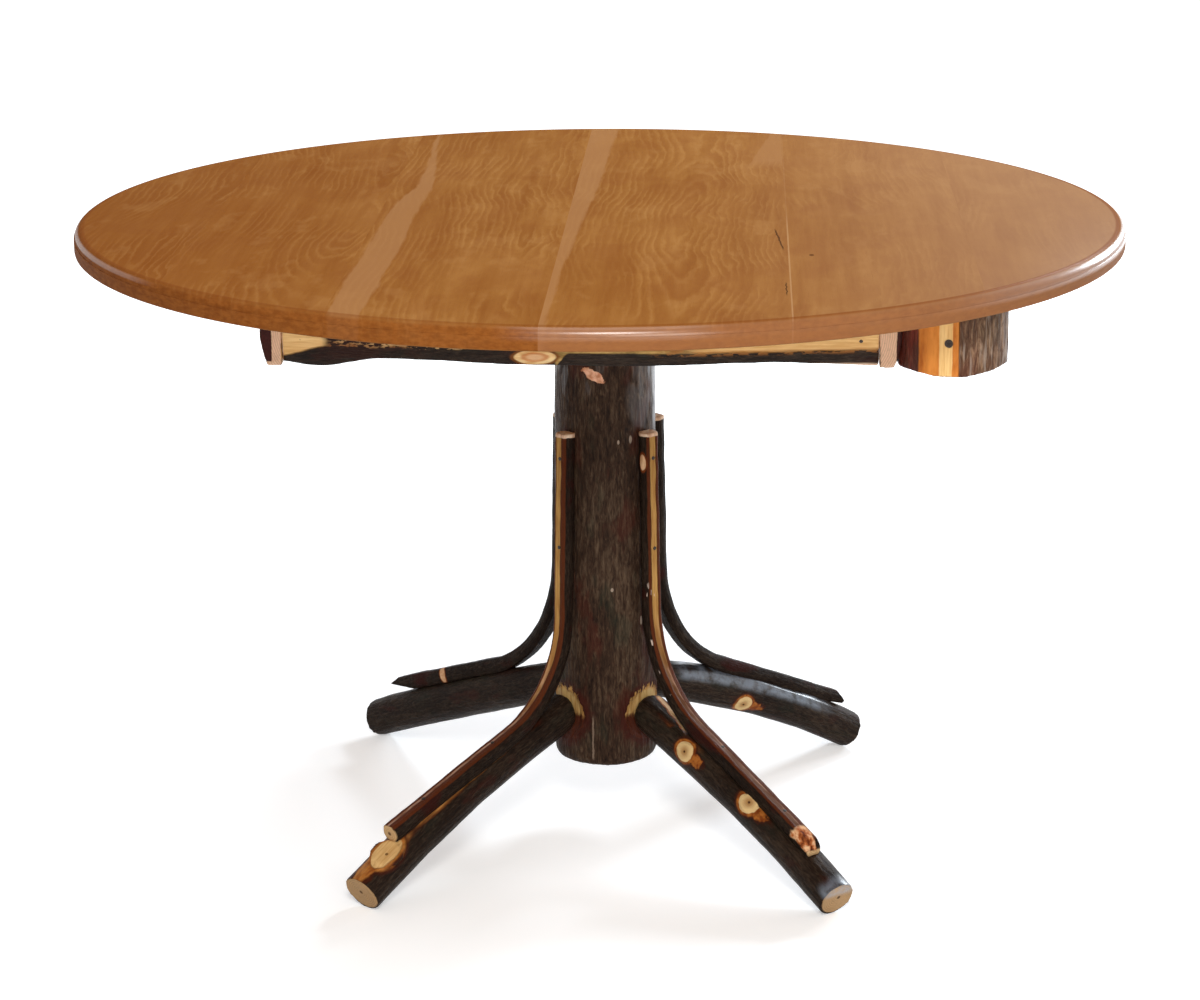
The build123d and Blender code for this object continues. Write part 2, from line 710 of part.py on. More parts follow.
def main():
    os.makedirs("parts", exist_ok=True)
    top_boards()
    apron()
    corner_blocks()
    battens()
    top_plate()
    trunk_part()
    leg_parts()
    brace_parts()
    log_block()
    log_block_cleat()
    fastener_group(flat_head_screw, batten_screw_length, batten_screws, "batten_screws")
    fastener_group(flat_head_screw, plate_screw_length, plate_screws, "plate_screws")
    fastener_group(flat_head_screw, corner_screw_length, corner_screws, "corner_block_screws")
    fastener_group(flat_head_screw, cleat_screw_length, cleat_screws, "cleat_screws")
    fastener_group(flat_head_screw, block_screw_length, [block_screw], "log_block_screw")
    fastener_group(lag_screw, lag_length, lag_places, "trunk_lag_screws")
    fastener_group(nail, apron_nail_length, apron_nails, "apron_nails")
    fastener_group(nail, brace_nail_length, [place for nails in brace_nail_places for place in nails],
                   "brace_nails")
    fastener_group(tenon_pin, pin_rise, pin_places, "tenon_pins")


main()
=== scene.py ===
# %% [markdown]
# # A rustic hickory table
# A round, varnished board top stands on a trunk that still wears its bark. Four bark-on poles are its
# feet, and four bent saplings brace them. The measured solids of every piece are loaded first, as a
# frame. Each visible piece is then dressed over its solid, so nothing has to be fitted by eye.

# %% Load the measured frame
import math

import bpy
import numpy as np
from mathutils import Matrix, Vector, noise


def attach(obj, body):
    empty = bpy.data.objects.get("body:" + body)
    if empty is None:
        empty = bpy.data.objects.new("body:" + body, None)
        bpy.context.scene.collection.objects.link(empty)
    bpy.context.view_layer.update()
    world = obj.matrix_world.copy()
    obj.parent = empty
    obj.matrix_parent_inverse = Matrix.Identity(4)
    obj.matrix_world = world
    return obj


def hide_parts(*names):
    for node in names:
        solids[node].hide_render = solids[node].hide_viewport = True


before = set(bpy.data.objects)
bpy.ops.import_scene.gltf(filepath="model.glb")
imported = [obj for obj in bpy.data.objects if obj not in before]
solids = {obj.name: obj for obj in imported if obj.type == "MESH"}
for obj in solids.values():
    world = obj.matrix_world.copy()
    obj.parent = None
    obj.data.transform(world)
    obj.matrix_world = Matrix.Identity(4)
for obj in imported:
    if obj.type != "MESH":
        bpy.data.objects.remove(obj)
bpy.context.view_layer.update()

# %% [markdown]
# ## Working as by hand
# Blender's operators act on whatever is selected, and in edit mode on the faces or edges that are
# selected. Small helpers keep that in order: one clears the selection and takes a single piece, one
# selects faces or edges by a test on their place, and one applies a piece's modifiers. The last one
# hands a finished piece its material and hides the solid that it stands for.

# %% Helpers for picking pieces, faces and edges
def take(piece):
    """Deselects everything, then selects this piece alone."""
    if bpy.context.mode != "OBJECT":
        bpy.ops.object.mode_set(mode="OBJECT")
    bpy.ops.object.select_all(action="DESELECT")
    bpy.context.view_layer.objects.active = piece
    piece.select_set(True)


def pick(piece, faces=None, edges=None):
    """Selects the faces or edges that pass a test, and goes into edit mode."""
    take(piece)
    mesh = piece.data
    for part in (mesh.vertices, mesh.edges, mesh.polygons):
        part.foreach_set("select", np.zeros(len(part), bool))
    if faces:
        for face in mesh.polygons:
            face.select = bool(faces(face))
    if edges:
        for edge in mesh.edges:
            ends = [mesh.vertices[i].co for i in edge.vertices]
            edge.select = bool(edges(*ends))
            if edge.select:
                for i in edge.vertices:
                    mesh.vertices[i].select = True
    bpy.ops.object.mode_set(mode="EDIT")
    bpy.ops.mesh.select_mode(type="FACE" if faces else "EDGE")


def done(piece):
    """Goes back to object mode."""
    bpy.ops.object.mode_set(mode="OBJECT")
    return piece


def apply_modifiers(piece):
    take(piece)
    for modifier in list(piece.modifiers):
        bpy.ops.object.modifier_apply(modifier=modifier.name)


def settle(piece):
    """Puts a piece's place into its mesh, so that its object sits at the origin."""
    take(piece)
    bpy.ops.object.transform_apply(location=True, rotation=True, scale=True)
    return piece


def new_cylinder(sides, radius, depth, top):
    """An upright cylinder on the axis, with its top face at this height."""
    bpy.ops.object.select_all(action="DESELECT")
    bpy.ops.mesh.primitive_cylinder_add(vertices=sides, radius=radius, depth=depth,
                                        location=(0, 0, top - depth / 2))
    return settle(bpy.context.object)


def pull(height):
    """Extrudes the selected faces upwards, or downwards by a height below zero."""
    bpy.ops.mesh.extrude_region_move(TRANSFORM_OT_translate={"value": (0, 0, height)})


def dress(piece, material, node):
    """Gives a finished piece its material, lets it ride with the table and hides the solid behind it."""
    piece.data.materials.clear()
    piece.data.materials.append(material)
    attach(piece, "root")
    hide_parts(node)
    piece.data.calc_loop_triangles()
    print(piece.name, "has", len(piece.data.loop_triangles), "triangles")


# %% [markdown]
# ## Shader maths as plain sums
# A finish is a tree of nodes. Wrapping each output in a small class lets the tree be written as ordinary
# arithmetic, such as `1 - mask`, and one method adds every other kind of node.

# %% Wires and finishes
class Wire:
    """One output of a finish's node tree, with Python's signs for Math nodes."""

    def __init__(self, finish, socket):
        self.finish, self.socket = finish, socket

    def math(self, operation, *others):
        return self.finish.node("ShaderNodeMath", {"operation": operation},
                                dict(enumerate((self,) + others)))

    def __add__(self, other):
        return self.math("ADD", other)

    def __sub__(self, other):
        return self.math("SUBTRACT", other)

    def __mul__(self, other):
        return self.math("MULTIPLY", other)

    def __truediv__(self, other):
        return self.math("DIVIDE", other)

    def __pow__(self, other):
        return self.math("POWER", other)

    def __rsub__(self, other):
        return self.finish.node("ShaderNodeMath", {"operation": "SUBTRACT"}, {0: other, 1: self})

    __radd__, __rmul__ = __add__, __mul__

    def most(self, other):
        return self.math("MAXIMUM", other)

    def size(self):
        return self.math("ABSOLUTE")

    def over(self, low, high):
        """0 below low, 1 above high, smooth between; turned round where low is above high."""
        return self.finish.node("ShaderNodeMapRange", {"interpolation_type": "SMOOTHSTEP"},
                                {0: self, 1: low, 2: high})

    def vector(self, operation, other=(0, 0, 0), out=0):
        return self.finish.node("ShaderNodeVectorMath", {"operation": operation},
                                {0: self, 1: other}, out)

    def part(self, axis):
        return self.finish.node("ShaderNodeSeparateXYZ", None, {0: self}, "XYZ".index(axis))


def linear(colour):
    """A colour as it looks on a screen, 0 to 255, made linear for a shader. A wire stays as it is."""
    if isinstance(colour, Wire):
        return colour
    return tuple(v / 255 / 12.92 if v <= 10 else ((v / 255 + 0.055) / 1.055) ** 2.4
                 for v in colour) + (1.0,)


class Finish:
    """A material under construction."""

    def __init__(self, name, specular=0.5, coat_roughness=0.1):
        self.material = bpy.data.materials.new(name)
        self.material.use_nodes = True
        self.tree = self.material.node_tree
        self.shader = self.tree.nodes["Principled BSDF"]
        self.shader.inputs["Specular IOR Level"].default_value = specular
        self.shader.inputs["Coat Roughness"].default_value = coat_roughness

    def node(self, kind, settings=None, sockets=None, out=0):
        made = self.tree.nodes.new(kind)
        for key, value in (settings or {}).items():
            if key == "stops":
                ramp = made.color_ramp.elements
                while len(ramp) < len(value):
                    ramp.new(1.0)
                for element, (at, colour) in zip(ramp, value):
                    element.position, element.color = at, colour
            else:
                setattr(made, key, value)
        for key, value in (sockets or {}).items():
            if isinstance(value, Wire):
                self.tree.links.new(value.socket, made.inputs[key])
            else:
                made.inputs[key].default_value = value
        return Wire(self, made.outputs[out])

    def place(self):
        return self.node("ShaderNodeTexCoord", out="Object")

    def grain(self):
        return self.node("ShaderNodeAttribute", {"attribute_name": "grain"}, out="Vector")

    def noise(self, where, scale, detail=3.0, rough=0.5, bend=0.0):
        return self.node("ShaderNodeTexNoise", None,
                         {"Vector": where, "Scale": scale, "Detail": detail, "Roughness": rough,
                          "Distortion": bend})

    def drawn(self, grain, share, *settings):
        """Noise that is drawn out along the grain: its blots are 1 / share times as long as wide."""
        return self.noise(grain.vector("MULTIPLY", (share, 1.0, 1.0)), *settings)

    def mix(self, mask, under, top):
        return self.node("ShaderNodeMix", {"data_type": "RGBA"},
                         {0: mask, 6: linear(under), 7: linear(top)}, 2)

    def glaze(self, colour, *coats):
        """Lays coats of colour over a colour, each by its own mask."""
        for mask, top in coats:
            colour = self.mix(mask, colour, top)
        return colour

    def ramp(self, value, *stops):
        stops = [(at, linear(colour)) for at, colour in stops]
        return self.node("ShaderNodeValToRGB", {"stops": stops}, {0: value})

    def spread(self, where, centre, size):
        """Distance from a centre, counted in sizes along each axis: 1 on an oval of that size."""
        gap = where.vector("SUBTRACT", centre).vector("DIVIDE", size)
        return gap.vector("LENGTH", out=1)

    def surface(self, colour, roughness, height=None, coat=None):
        """Height is in metres."""
        links = self.tree.links
        if coat:
            links.new(coat.socket, self.shader.inputs["Coat Weight"])
        links.new(colour.socket, self.shader.inputs["Base Color"])
        links.new(roughness.socket, self.shader.inputs["Roughness"])
        if height:
            bump = self.node("ShaderNodeBump", None,
                             {"Strength": 1.0, "Distance": 1.0, "Height": height})
            links.new(bump.socket, self.shader.inputs["Normal"])
        return self.material


# %% [markdown]
# ## Camera, light and floor
# A long lens stands nearly four metres away, a little above the top. Five soft lamps light the table:
# one in front of it, one above, a low warm one that reaches the trunk under the top, and two cool ones
# at the back right, like a window, which put a sheen on the far legs and on the rim. The floor and the
# room are plain and pale, and the floor grows paler further out, so that no edge shows between them.

# %% Camera
camera_place = (0.1662, -3.8067, 1.4751)
camera_yaw, camera_tilt, camera_roll = math.radians(2.5) + 0.00039, math.pi / 2 - 0.27515, -0.0054262
camera = bpy.data.objects.new("camera", bpy.data.cameras.new("camera"))
camera.data.lens, camera.data.sensor_width = 99.0, 36.0
camera.matrix_world = (Matrix.Translation(camera_place) @ Matrix.Rotation(camera_yaw, 4, "Z")
                       @ Matrix.Rotation(camera_tilt, 4, "X") @ Matrix.Rotation(camera_roll, 4, "Z"))
bpy.context.scene.collection.objects.link(camera)
bpy.context.scene.camera = camera
bpy.context.scene.view_settings.view_transform = "Standard"
print("camera at", camera_place, "lens", camera.data.lens)


# %% Soft lamps
def lamp(name, place, target, wide, high, watts, colour):
    light = bpy.data.objects.new(name, bpy.data.lights.new(name, "AREA"))
    light.data.shape, light.data.size, light.data.size_y = "RECTANGLE", wide, high
    light.data.energy, light.data.color = watts, colour
    light.location = place
    light.rotation_euler = (Vector(target) - Vector(place)).to_track_quat("-Z", "Y").to_euler()
    bpy.context.scene.collection.objects.link(light)
    print(name, watts, "watts at", place)


table_middle = (0.0, 0.0, 0.55)
lamp("lamp_front", (0.3, -3.9, 2.9), table_middle, 0.8, 1.2, 92.0, (1.0, 0.97, 0.93))
lamp("lamp_above", (0.0, -0.3, 3.6), table_middle, 2.4, 2.4, 26.0, (1.0, 0.98, 0.95))
lamp("lamp_low", (0.9, -3.2, 1.0), table_middle, 1.3, 0.8, 22.0, (1.0, 0.95, 0.88))
lamp("lamp_back", (1.25, 2.8, 2.0), (0.2, 0.2, 0.1), 0.7, 0.5, 60.0, (0.80, 0.90, 1.0))
lamp("lamp_window", (2.7, 2.9, 1.5), table_middle, 1.3, 1.1, 105.0, (0.84, 0.92, 1.0))

# %% World and floor
room_light, floor_paint, floor_size = 0.36, 0.86, 40.0
world = bpy.data.worlds.new("room")
bpy.context.scene.world = world
world.use_nodes = True
sky = world.node_tree
path = sky.nodes.new("ShaderNodeLightPath")
seen = path.outputs["Is Camera Ray"]
for ray in ("Is Glossy Ray", "Is Transmission Ray"):
    either = sky.nodes.new("ShaderNodeMath")
    either.operation, either.use_clamp = "ADD", True
    sky.links.new(seen, either.inputs[0])
    sky.links.new(path.outputs[ray], either.inputs[1])
    seen = either.outputs[0]
strength = sky.nodes.new("ShaderNodeMapRange")
strength.inputs["To Min"].default_value, strength.inputs["To Max"].default_value = room_light, 1.0
sky.links.new(seen, strength.inputs["Value"])
sky.nodes["Background"].inputs["Color"].default_value = (1, 1, 1, 1)
sky.links.new(strength.outputs[0], sky.nodes["Background"].inputs["Strength"])

bpy.ops.object.select_all(action="DESELECT")
bpy.ops.mesh.primitive_plane_add(size=floor_size, location=(0, 0, 0))
floor = bpy.context.object
floor.name = "floor"
floor_finish = Finish("pale_floor", specular=0.0)
floor_shader = floor_finish.shader
floor_shader.inputs["Base Color"].default_value = (floor_paint, floor_paint, floor_paint, 1)
floor_shader.inputs["Roughness"].default_value = 1.0
floor_shader.inputs["Emission Color"].default_value = (1, 1, 1, 1)
floor_seen = (floor_finish.node("ShaderNodeLightPath", out="Is Camera Ray")
              + floor_finish.node("ShaderNodeLightPath", out="Is Glossy Ray")).math("MINIMUM", 1.0)
floor_away = floor_finish.place().vector("LENGTH", out=1).over(1.1, 3.4)
floor_glow = floor_seen * (room_light + floor_away * (1.0 - room_light))
floor_finish.tree.links.new(floor_glow.socket, floor_shader.inputs["Emission Strength"])
floor.data.materials.append(floor_finish.material)
print("room at", room_light, "floor", floor_size, "metres wide")

# %% [markdown]
# ## The top: six boards, one disc
# The top is glued up from boards, sawn round and rounded over at the rim. It is made the same way here:
# a disc is turned to the rim's profile first, and then each board is bisected out of a copy of it, so
# that the rim runs through every seam. The grain runs across the table, away from the sitter.

# %% Turn the disc
top_height, top_thickness, top_radius = 0.7493, 0.0254, 0.6096
rim_round, rim_shelf, rim_ease = 0.010, 0.0006, 0.003
seams = (-0.450, -0.258, -0.036, 0.217, 0.420)
shoulder_height = top_height - rim_round

body_height = shoulder_height - (top_height - top_thickness)
disc = new_cylinder(288, top_radius, body_height, shoulder_height)
pick(disc, faces=lambda face: face.normal.z > 0.9)
bpy.ops.mesh.inset(thickness=rim_shelf, depth=0)
pull(rim_round)
done(disc)
pick(disc, edges=lambda a, b: min(a.z, b.z) > top_height - 0.0001)
bpy.ops.mesh.bevel(offset=rim_round * 0.98, segments=7, profile=0.5, affect="EDGES")
done(disc)
pick(disc, edges=lambda a, b: max(a.z, b.z) < top_height - top_thickness + 0.0001)
bpy.ops.mesh.bevel(offset=rim_ease, segments=3, profile=0.5, affect="EDGES")
done(disc)
print("disc with", len(disc.data.polygons), "faces")

# %% Bisect the boards out of it
boards = []
cuts = (-1.0,) + seams + (1.0,)
for number, (left, right) in enumerate(zip(cuts, cuts[1:]), start=1):
    board = disc.copy()
    board.data = disc.data.copy()
    board.name = f"board_{number}"
    bpy.context.scene.collection.objects.link(board)
    for cut, keep in ((left, -1.0), (right, 1.0)):
        if abs(cut) < top_radius:
            take(board)
            bpy.ops.object.mode_set(mode="EDIT")
            bpy.ops.mesh.select_all(action="SELECT")
            bpy.ops.mesh.bisect(plane_co=(cut, 0, 0), plane_no=(keep, 0, 0), use_fill=True,
                                clear_outer=True)
            done(board)
    take(board)
    bpy.ops.object.shade_smooth_by_angle(angle=math.radians(32))
    boards.append(board)
bpy.data.objects.remove(disc)
print("boards:", len(boards))

# %% [markdown]
# ## Varnished hickory
# A flat-sawn board is cut through the tree's growth rings at a low angle, so the rings show as nested
# arches where the cut comes near the middle of the tree, and as long lines elsewhere. The finish counts
# rings round a line that dips through each board. Each board has its own line, which is why the figure
# jumps at a seam. Pale sapwood runs along two of the seams.

# %% The finish of the top
def board_finish():
    """Ring figure with a painted sheen towards the right, sapwood, splits, the darker rim and the varnish, in
    that order.
    """
    finish = Finish("varnished_hickory", specular=0.0, coat_roughness=0.24)
    place = finish.place()
    x, y, z = (place.part(axis) for axis in "XYZ")
    number = sum(x.over(seam - 1e-5, seam + 1e-5) for seam in seams)
    wood = place.vector("ADD", finish.node("ShaderNodeCombineXYZ", None, {
        0: number * 1.37, 1: number * 3.11, 2: number * 0.73}))

    def figure(share, *settings):
        """Noise that is drawn out along the boards and starts anew on each."""
        return finish.noise(wood.vector("MULTIPLY", (1.0, share, 1.0)), *settings)

    # rings round the middle of the tree, which wanders and dips along each board
    down_board = finish.node("ShaderNodeCombineXYZ", None, {0: number * 5.3, 1: y, 2: number * 2.9})
    drift = finish.noise(down_board, 1.5, 2.0) - 0.5
    dip = finish.noise(down_board.vector("ADD", (7.0, 0.0, 0.0)), 1.1, 1.0) - 0.5
    ripple = figure(0.22, 26.0, 4.0, 0.6) - 0.5
    fine_ripple = figure(0.12, 110.0, 3.0, 0.6) - 0.5
    aside = x - (number - 2.5) * 0.19 + drift * 0.14 + ripple * 0.030
    deep = dip * 0.20 + 0.012
    rings_in_a_metre = 120.0
    ring = (((aside * aside + deep * deep) ** 0.5) * rings_in_a_metre
            + ripple * 0.8 + fine_ripple * 0.7)
    wave = ring - ring.math("FLOOR")
    late = wave.over(0.30, 0.90) * wave.over(1.0, 0.92)
    bright = wave.over(0.0, 0.16) * wave.over(0.46, 0.18)

    streak = figure(0.05, 60.0, 5.0, 0.6)
    cloud = figure(0.5, 7.5, 3.0, 0.55)
    shimmer = figure(0.38, 26.0, 3.0, 0.6)
    flame = figure(0.42, 12.0, 4.0, 0.6, 0.8)
    pores = figure(0.045, 900.0, 2.0, 0.7)
    strength = figure(0.5, 9.0, 2.0).over(0.35, 0.62)
    quiet = 1.0 - x.over(0.20, 0.24) * 0.45
    colour = finish.glaze(
        finish.ramp(streak * 0.55 + cloud * 0.45,
                    (0.32, (140, 84, 32)), (0.5, (155, 101, 46)), (0.68, (167, 114, 58))),
        (x.over(-0.08, -0.50) * 0.40, (138, 72, 16)),
        (late * (strength * 0.22 + 0.03) * quiet, (132, 74, 28)),
        (bright * strength * 0.14 * quiet, (200, 150, 90)),
        (shimmer.over(0.48, 0.66) * 0.24, (140, 82, 36)),
        (shimmer.over(0.46, 0.32) * 0.18, (188, 138, 82)),
        (flame.over(0.50, 0.62) * 0.20, (134, 74, 30)),
        (pores.over(0.60, 0.74) * 0.22, (112, 66, 30)),
        # painted sheen: the top is painted paler and pinker towards the right
        (x.over(0.05, 0.60) * 0.50, (178, 140, 110)))

    # sapwood: a band beside one seam, a wedge beside the next, a sliver beside the third
    edge = (finish.noise(place.vector("MULTIPLY", (1.0, 0.35, 1.0)), 13.0, 4.0, 0.6) - 0.5) * 0.013
    fringe = (figure(0.08, 240.0, 2.0) - 0.5) * 0.006
    soft = x + edge + fringe
    band = (soft + y.over(0.0, -0.30) * 0.006 - y.over(0.02, 0.20) * 0.016
            + y.over(0.25, 0.50) * 0.006).over(-0.2495, -0.2450)
    band = band * (soft + y.over(0.15, 0.52) * 0.020 + y.over(-0.15, -0.50) * 0.006).over(-0.2105, -0.2150)
    wedge = x.over(-0.0361, -0.0359) * (soft + y.over(0.55, -0.55) * 0.028).over(0.001, -0.0045)
    sliver = (x - y * 0.12 + fringe).over(0.1345, 0.138) * x.over(0.2172, 0.2169) * y.over(0.28, 0.36)
    line = (x - 0.2182).size().over(0.0012, 0.0004) * (y.over(0.02, -0.10) * 0.8 + 0.2)

    # splits beside the third seam, and a pin knot
    wobble = (finish.noise(place, 90.0, 2.0) - 0.5) * 0.003
    split = ((x - 0.208 + (y + 0.155) * 0.07 + wobble).size().over(0.0013, 0.0005)
             * y.over(-0.225, -0.20) * y.over(-0.09, -0.115))
    split = split.most((x - 0.2135 + wobble).size().over(0.001, 0.0004)
                       * y.over(-0.46, -0.44) * y.over(-0.385, -0.40))
    pin = finish.spread(place, (0.243, -0.245, top_height), (0.0028, 0.006, 0.01)).over(1.2, 0.7)

    # the rim shows end grain, which drinks the varnish and is darker and redder
    inward = top_radius - (x * x + y * y) ** 0.5
    down = top_height - z
    rim = inward.over(0.0085, 0.002)
    turn_line = inward.over(0.0135, 0.0105) * inward.over(0.004, 0.0085)
    fleck = finish.noise(wood.vector("MULTIPLY", (1.0, 0.4, 2.0)), 110.0, 3.0, 0.6)
    rim_colour = finish.glaze(finish.mix(fleck.over(0.3, 0.7), (116, 60, 20), (140, 80, 32)),
                              # paler and pinker right of the middle seam: partly the next board's own colour,
                              # partly a painted sheen
                              (x.over(-0.0362, -0.0358) * 0.45, (156, 110, 78)))
    underneath = down.over(top_thickness - 0.002, top_thickness - 0.0004)
    colour = finish.glaze(
        colour,
        (band.most(wedge).most(sliver * 0.8) * 0.66,
         finish.mix(streak, (178, 130, 84), (164, 114, 70))),
        (line * 0.5, (196, 152, 108)),
        (split * 0.75, (58, 34, 20)),
        (pin * 0.7, (84, 46, 24)),
        (turn_line * (0.45 + x.over(0.1, 0.3) * 0.2), (128, 66, 24)),
        (rim * 0.8, rim_colour),
        (underneath * 0.4, (150, 108, 66)))
    rough = 0.36 + (cloud - 0.5) * 0.14 + pores.over(0.6, 0.74) * 0.12 + underneath * 0.2
    height = (streak - 0.5) * 0.00006 - pores.over(0.58, 0.72) * 0.00003 - late * 0.00003 - split * 0.0003
    height = height + (finish.noise(place, 4.0, 1.0) - 0.5) * 0.0006

    # the varnish is thick on the round of the rim, most at the front and the right, least at the back
    right_gloss = (down.over(0.016, 0.010) * x.over(-0.09, -0.03)
                   * (1.0 - x.over(0.10, 0.16) * x.over(0.46, 0.36) * 0.85))
    left_gloss = (down.over(0.0066, 0.0050) * down.over(0.0010, 0.0026)
                  * x.over(-0.45, -0.50) * y.over(0.04, -0.22) * 0.8)
    coat = 0.03 + inward.over(0.0068, 0.0048) * (right_gloss + left_gloss + 0.04)
    return finish.surface(colour, rough, height, coat)


varnished_hickory = board_finish()
for number, board in enumerate(boards, start=1):
    dress(board, varnished_hickory, f"top_board_{number}")

# %% [markdown]
# ## Skins over the logs
# A log isn't a cylinder: its bark is furrowed, its sawn edges are soft, and its facets are gone. Each
# log starts as a copy of its solid, whose corners are merged. A voxel remesh gives it an even skin, a
# smoothing takes the flat facets off, and displacement by cloud textures that are stretched along the
# log raises the bark.

# %% Copies, skins and relief
def copy_solid(name, node):
    """A loose copy of a node's solid, with its doubled corners merged."""
    piece = bpy.data.objects.new(name, solids[node].data.copy())
    bpy.context.scene.collection.objects.link(piece)
    pick(piece, faces=lambda face: True)
    bpy.ops.mesh.remove_doubles(threshold=0.00001)
    return done(piece)


def skin(piece, voxel, passes):
    """Remeshes a copied solid into small even cells and smooths its facets off."""
    remesh = piece.modifiers.new("skin", "REMESH")
    remesh.mode, remesh.voxel_size, remesh.use_smooth_shade = "VOXEL", voxel, True
    smooth = piece.modifiers.new("smooth", "SMOOTH")
    smooth.factor, smooth.iterations = 0.5, passes
    apply_modifiers(piece)


def relief(piece, cell, height, hard=False, turn=Matrix.Identity(4)):
    """Displaces a skin by a cloud texture. A cell of it is this long, wide and high, in metres."""
    guide = bpy.data.objects.new("guide", None)
    bpy.context.scene.collection.objects.link(guide)
    guide.matrix_world = turn @ Matrix.Diagonal((*cell, 1.0))
    cloud = bpy.data.textures.new("cloud", "CLOUDS")
    cloud.noise_scale, cloud.noise_depth = 1.0, 2
    cloud.noise_type = "HARD_NOISE" if hard else "SOFT_NOISE"
    raised = piece.modifiers.new("relief", "DISPLACE")
    raised.texture, raised.texture_coords, raised.texture_coords_object = cloud, "OBJECT", guide
    raised.strength, raised.mid_level = height, 0.5
    bpy.context.view_layer.update()
    apply_modifiers(piece)
    bpy.data.objects.remove(guide)
    bpy.data.textures.remove(cloud)


# %% [markdown]
# ## Grain that follows each log
# Bark and fibres run along a log, also where it bends. So each point of a piece keeps three numbers:
# how far it is along the log, how far to its left, and how far above its middle line. They are stored
# as an attribute called grain, which every bark and wood finish reads instead of plain coordinates.

# %% Grain along straight and bent logs
def corners_of(piece):
    """The places of a piece's corners, one row each."""
    places = np.empty(len(piece.data.vertices) * 3, np.float32)
    piece.data.vertices.foreach_get("co", places)
    return places.reshape(-1, 3).astype(float)


def move_corners(piece, places):
    piece.data.vertices.foreach_set("co", places.astype(np.float32).ravel())
    piece.data.update()


def rise(values, low, high):
    """0 below low, 1 above high, straight between; turned round where low is above high."""
    return np.clip((values - low) / (high - low), 0.0, 1.0)


def store_grain(piece, grain):
    """Keeps along, left and up of each corner as the attribute that finishes read."""
    layer = piece.data.attributes.new("grain", "FLOAT_VECTOR", "POINT")
    layer.data.foreach_set("vector", grain.astype(np.float32).ravel())


def straight_grain(piece, origin, along, left, up):
    """The grain of a straight log, counted from an origin along three directions."""
    store_grain(piece, (corners_of(piece) - origin) @ np.array([along, left, up], float).T)


trunk_x = 0.005


class Upright:
    """The upright plane that a leg or a brace lies in, and its middle line in that plane."""

    def __init__(self, azimuth, offset, line):
        turn = math.radians(azimuth)
        self.out = np.array([math.cos(turn), math.sin(turn), 0.0])
        self.left = np.array([-math.sin(turn), math.cos(turn), 0.0])
        self.origin = np.array([trunk_x, 0.0, 0.0]) + self.left * offset
        self.line = np.array(line)

    def point(self, flat, aside=0.0):
        return self.origin + self.out * flat[0] + self.left * aside + np.array([0, 0, flat[1]])

    def measure(self, places):
        """Along, left and up of each place, by the nearest stretch of the middle line."""
        local = places - self.origin
        flat = np.stack([local @ self.out, local[:, 2]], 1)
        steps = np.diff(self.line, axis=0)
        lengths = np.hypot(*steps.T)
        starts = np.concatenate([[0.0], np.cumsum(lengths)])
        best = np.full(len(flat), 1e9)
        along, up = np.zeros(len(flat)), np.zeros(len(flat))
        for i, (step, length) in enumerate(zip(steps, lengths)):
            unit = step / length
            gap = flat - self.line[i]
            run = gap @ unit
            low = -1.0 if i == 0 else 0.0
            high = 1.0 if i == len(steps) - 1 else length
            run = np.clip(run, low, high)
            off = gap - run[:, None] * unit
            far = (off ** 2).sum(1)
            nearer = far < best
            best[nearer] = far[nearer]
            along[nearer] = (starts[i] + run)[nearer]
            up[nearer] = (gap @ np.array([-unit[1], unit[0]]))[nearer]
        return np.stack([along, local @ self.left, up], 1)

    def length(self):
        return float(np.hypot(*np.diff(self.line, axis=0).T).sum())


def arc_line(root, middle, end, count=40):
    """Points on the arc through three points."""
    (ax, ay), (bx, by), (cx, cy) = root, middle, end
    d = 2 * (ax * (by - cy) + bx * (cy - ay) + cx * (ay - by))
    a2, b2, c2 = ax * ax + ay * ay, bx * bx + by * by, cx * cx + cy * cy
    ox = (a2 * (by - cy) + b2 * (cy - ay) + c2 * (ay - by)) / d
    oy = (a2 * (cx - bx) + b2 * (ax - cx) + c2 * (bx - ax)) / d
    radius = math.hypot(ax - ox, ay - oy)
    first, last = math.atan2(ay - oy, ax - ox), math.atan2(cy - oy, cx - ox)
    return [(ox + radius * math.cos(first + (last - first) * i / count),
             oy + radius * math.sin(first + (last - first) * i / count)) for i in range(count + 1)]


def bent_line(head, foot, tail, radius, count=28):
    """A straight run, a bend of this radius, and a straight run."""
    head, foot, tail = (np.array(p, float) for p in (head, foot, tail))
    first, last = (foot - head), (tail - foot)
    first, last = first / np.hypot(*first), last / np.hypot(*last)
    half = math.acos(float(first @ last)) / 2
    set_back = radius * math.tan(half)
    start = foot - first * set_back
    inward = np.array([-first[1], first[0]])
    centre = start + inward * radius
    line = [tuple(head)]
    for i in range(count + 1):
        turn = 2 * half * i / count
        line.append(tuple(centre - inward * radius * math.cos(turn) + first * radius * math.sin(turn)))
    return line + [tuple(tail)]


# %% [markdown]
# ## Bark
# Young hickory bark is tight: fine, interlacing ridges run up the log, nearly black in the furrows and
# grey brown on the ridges, with greenish and reddish patches where lichen grew or the outer layer came
# off. Clear varnish over it all gives it a soft gloss.

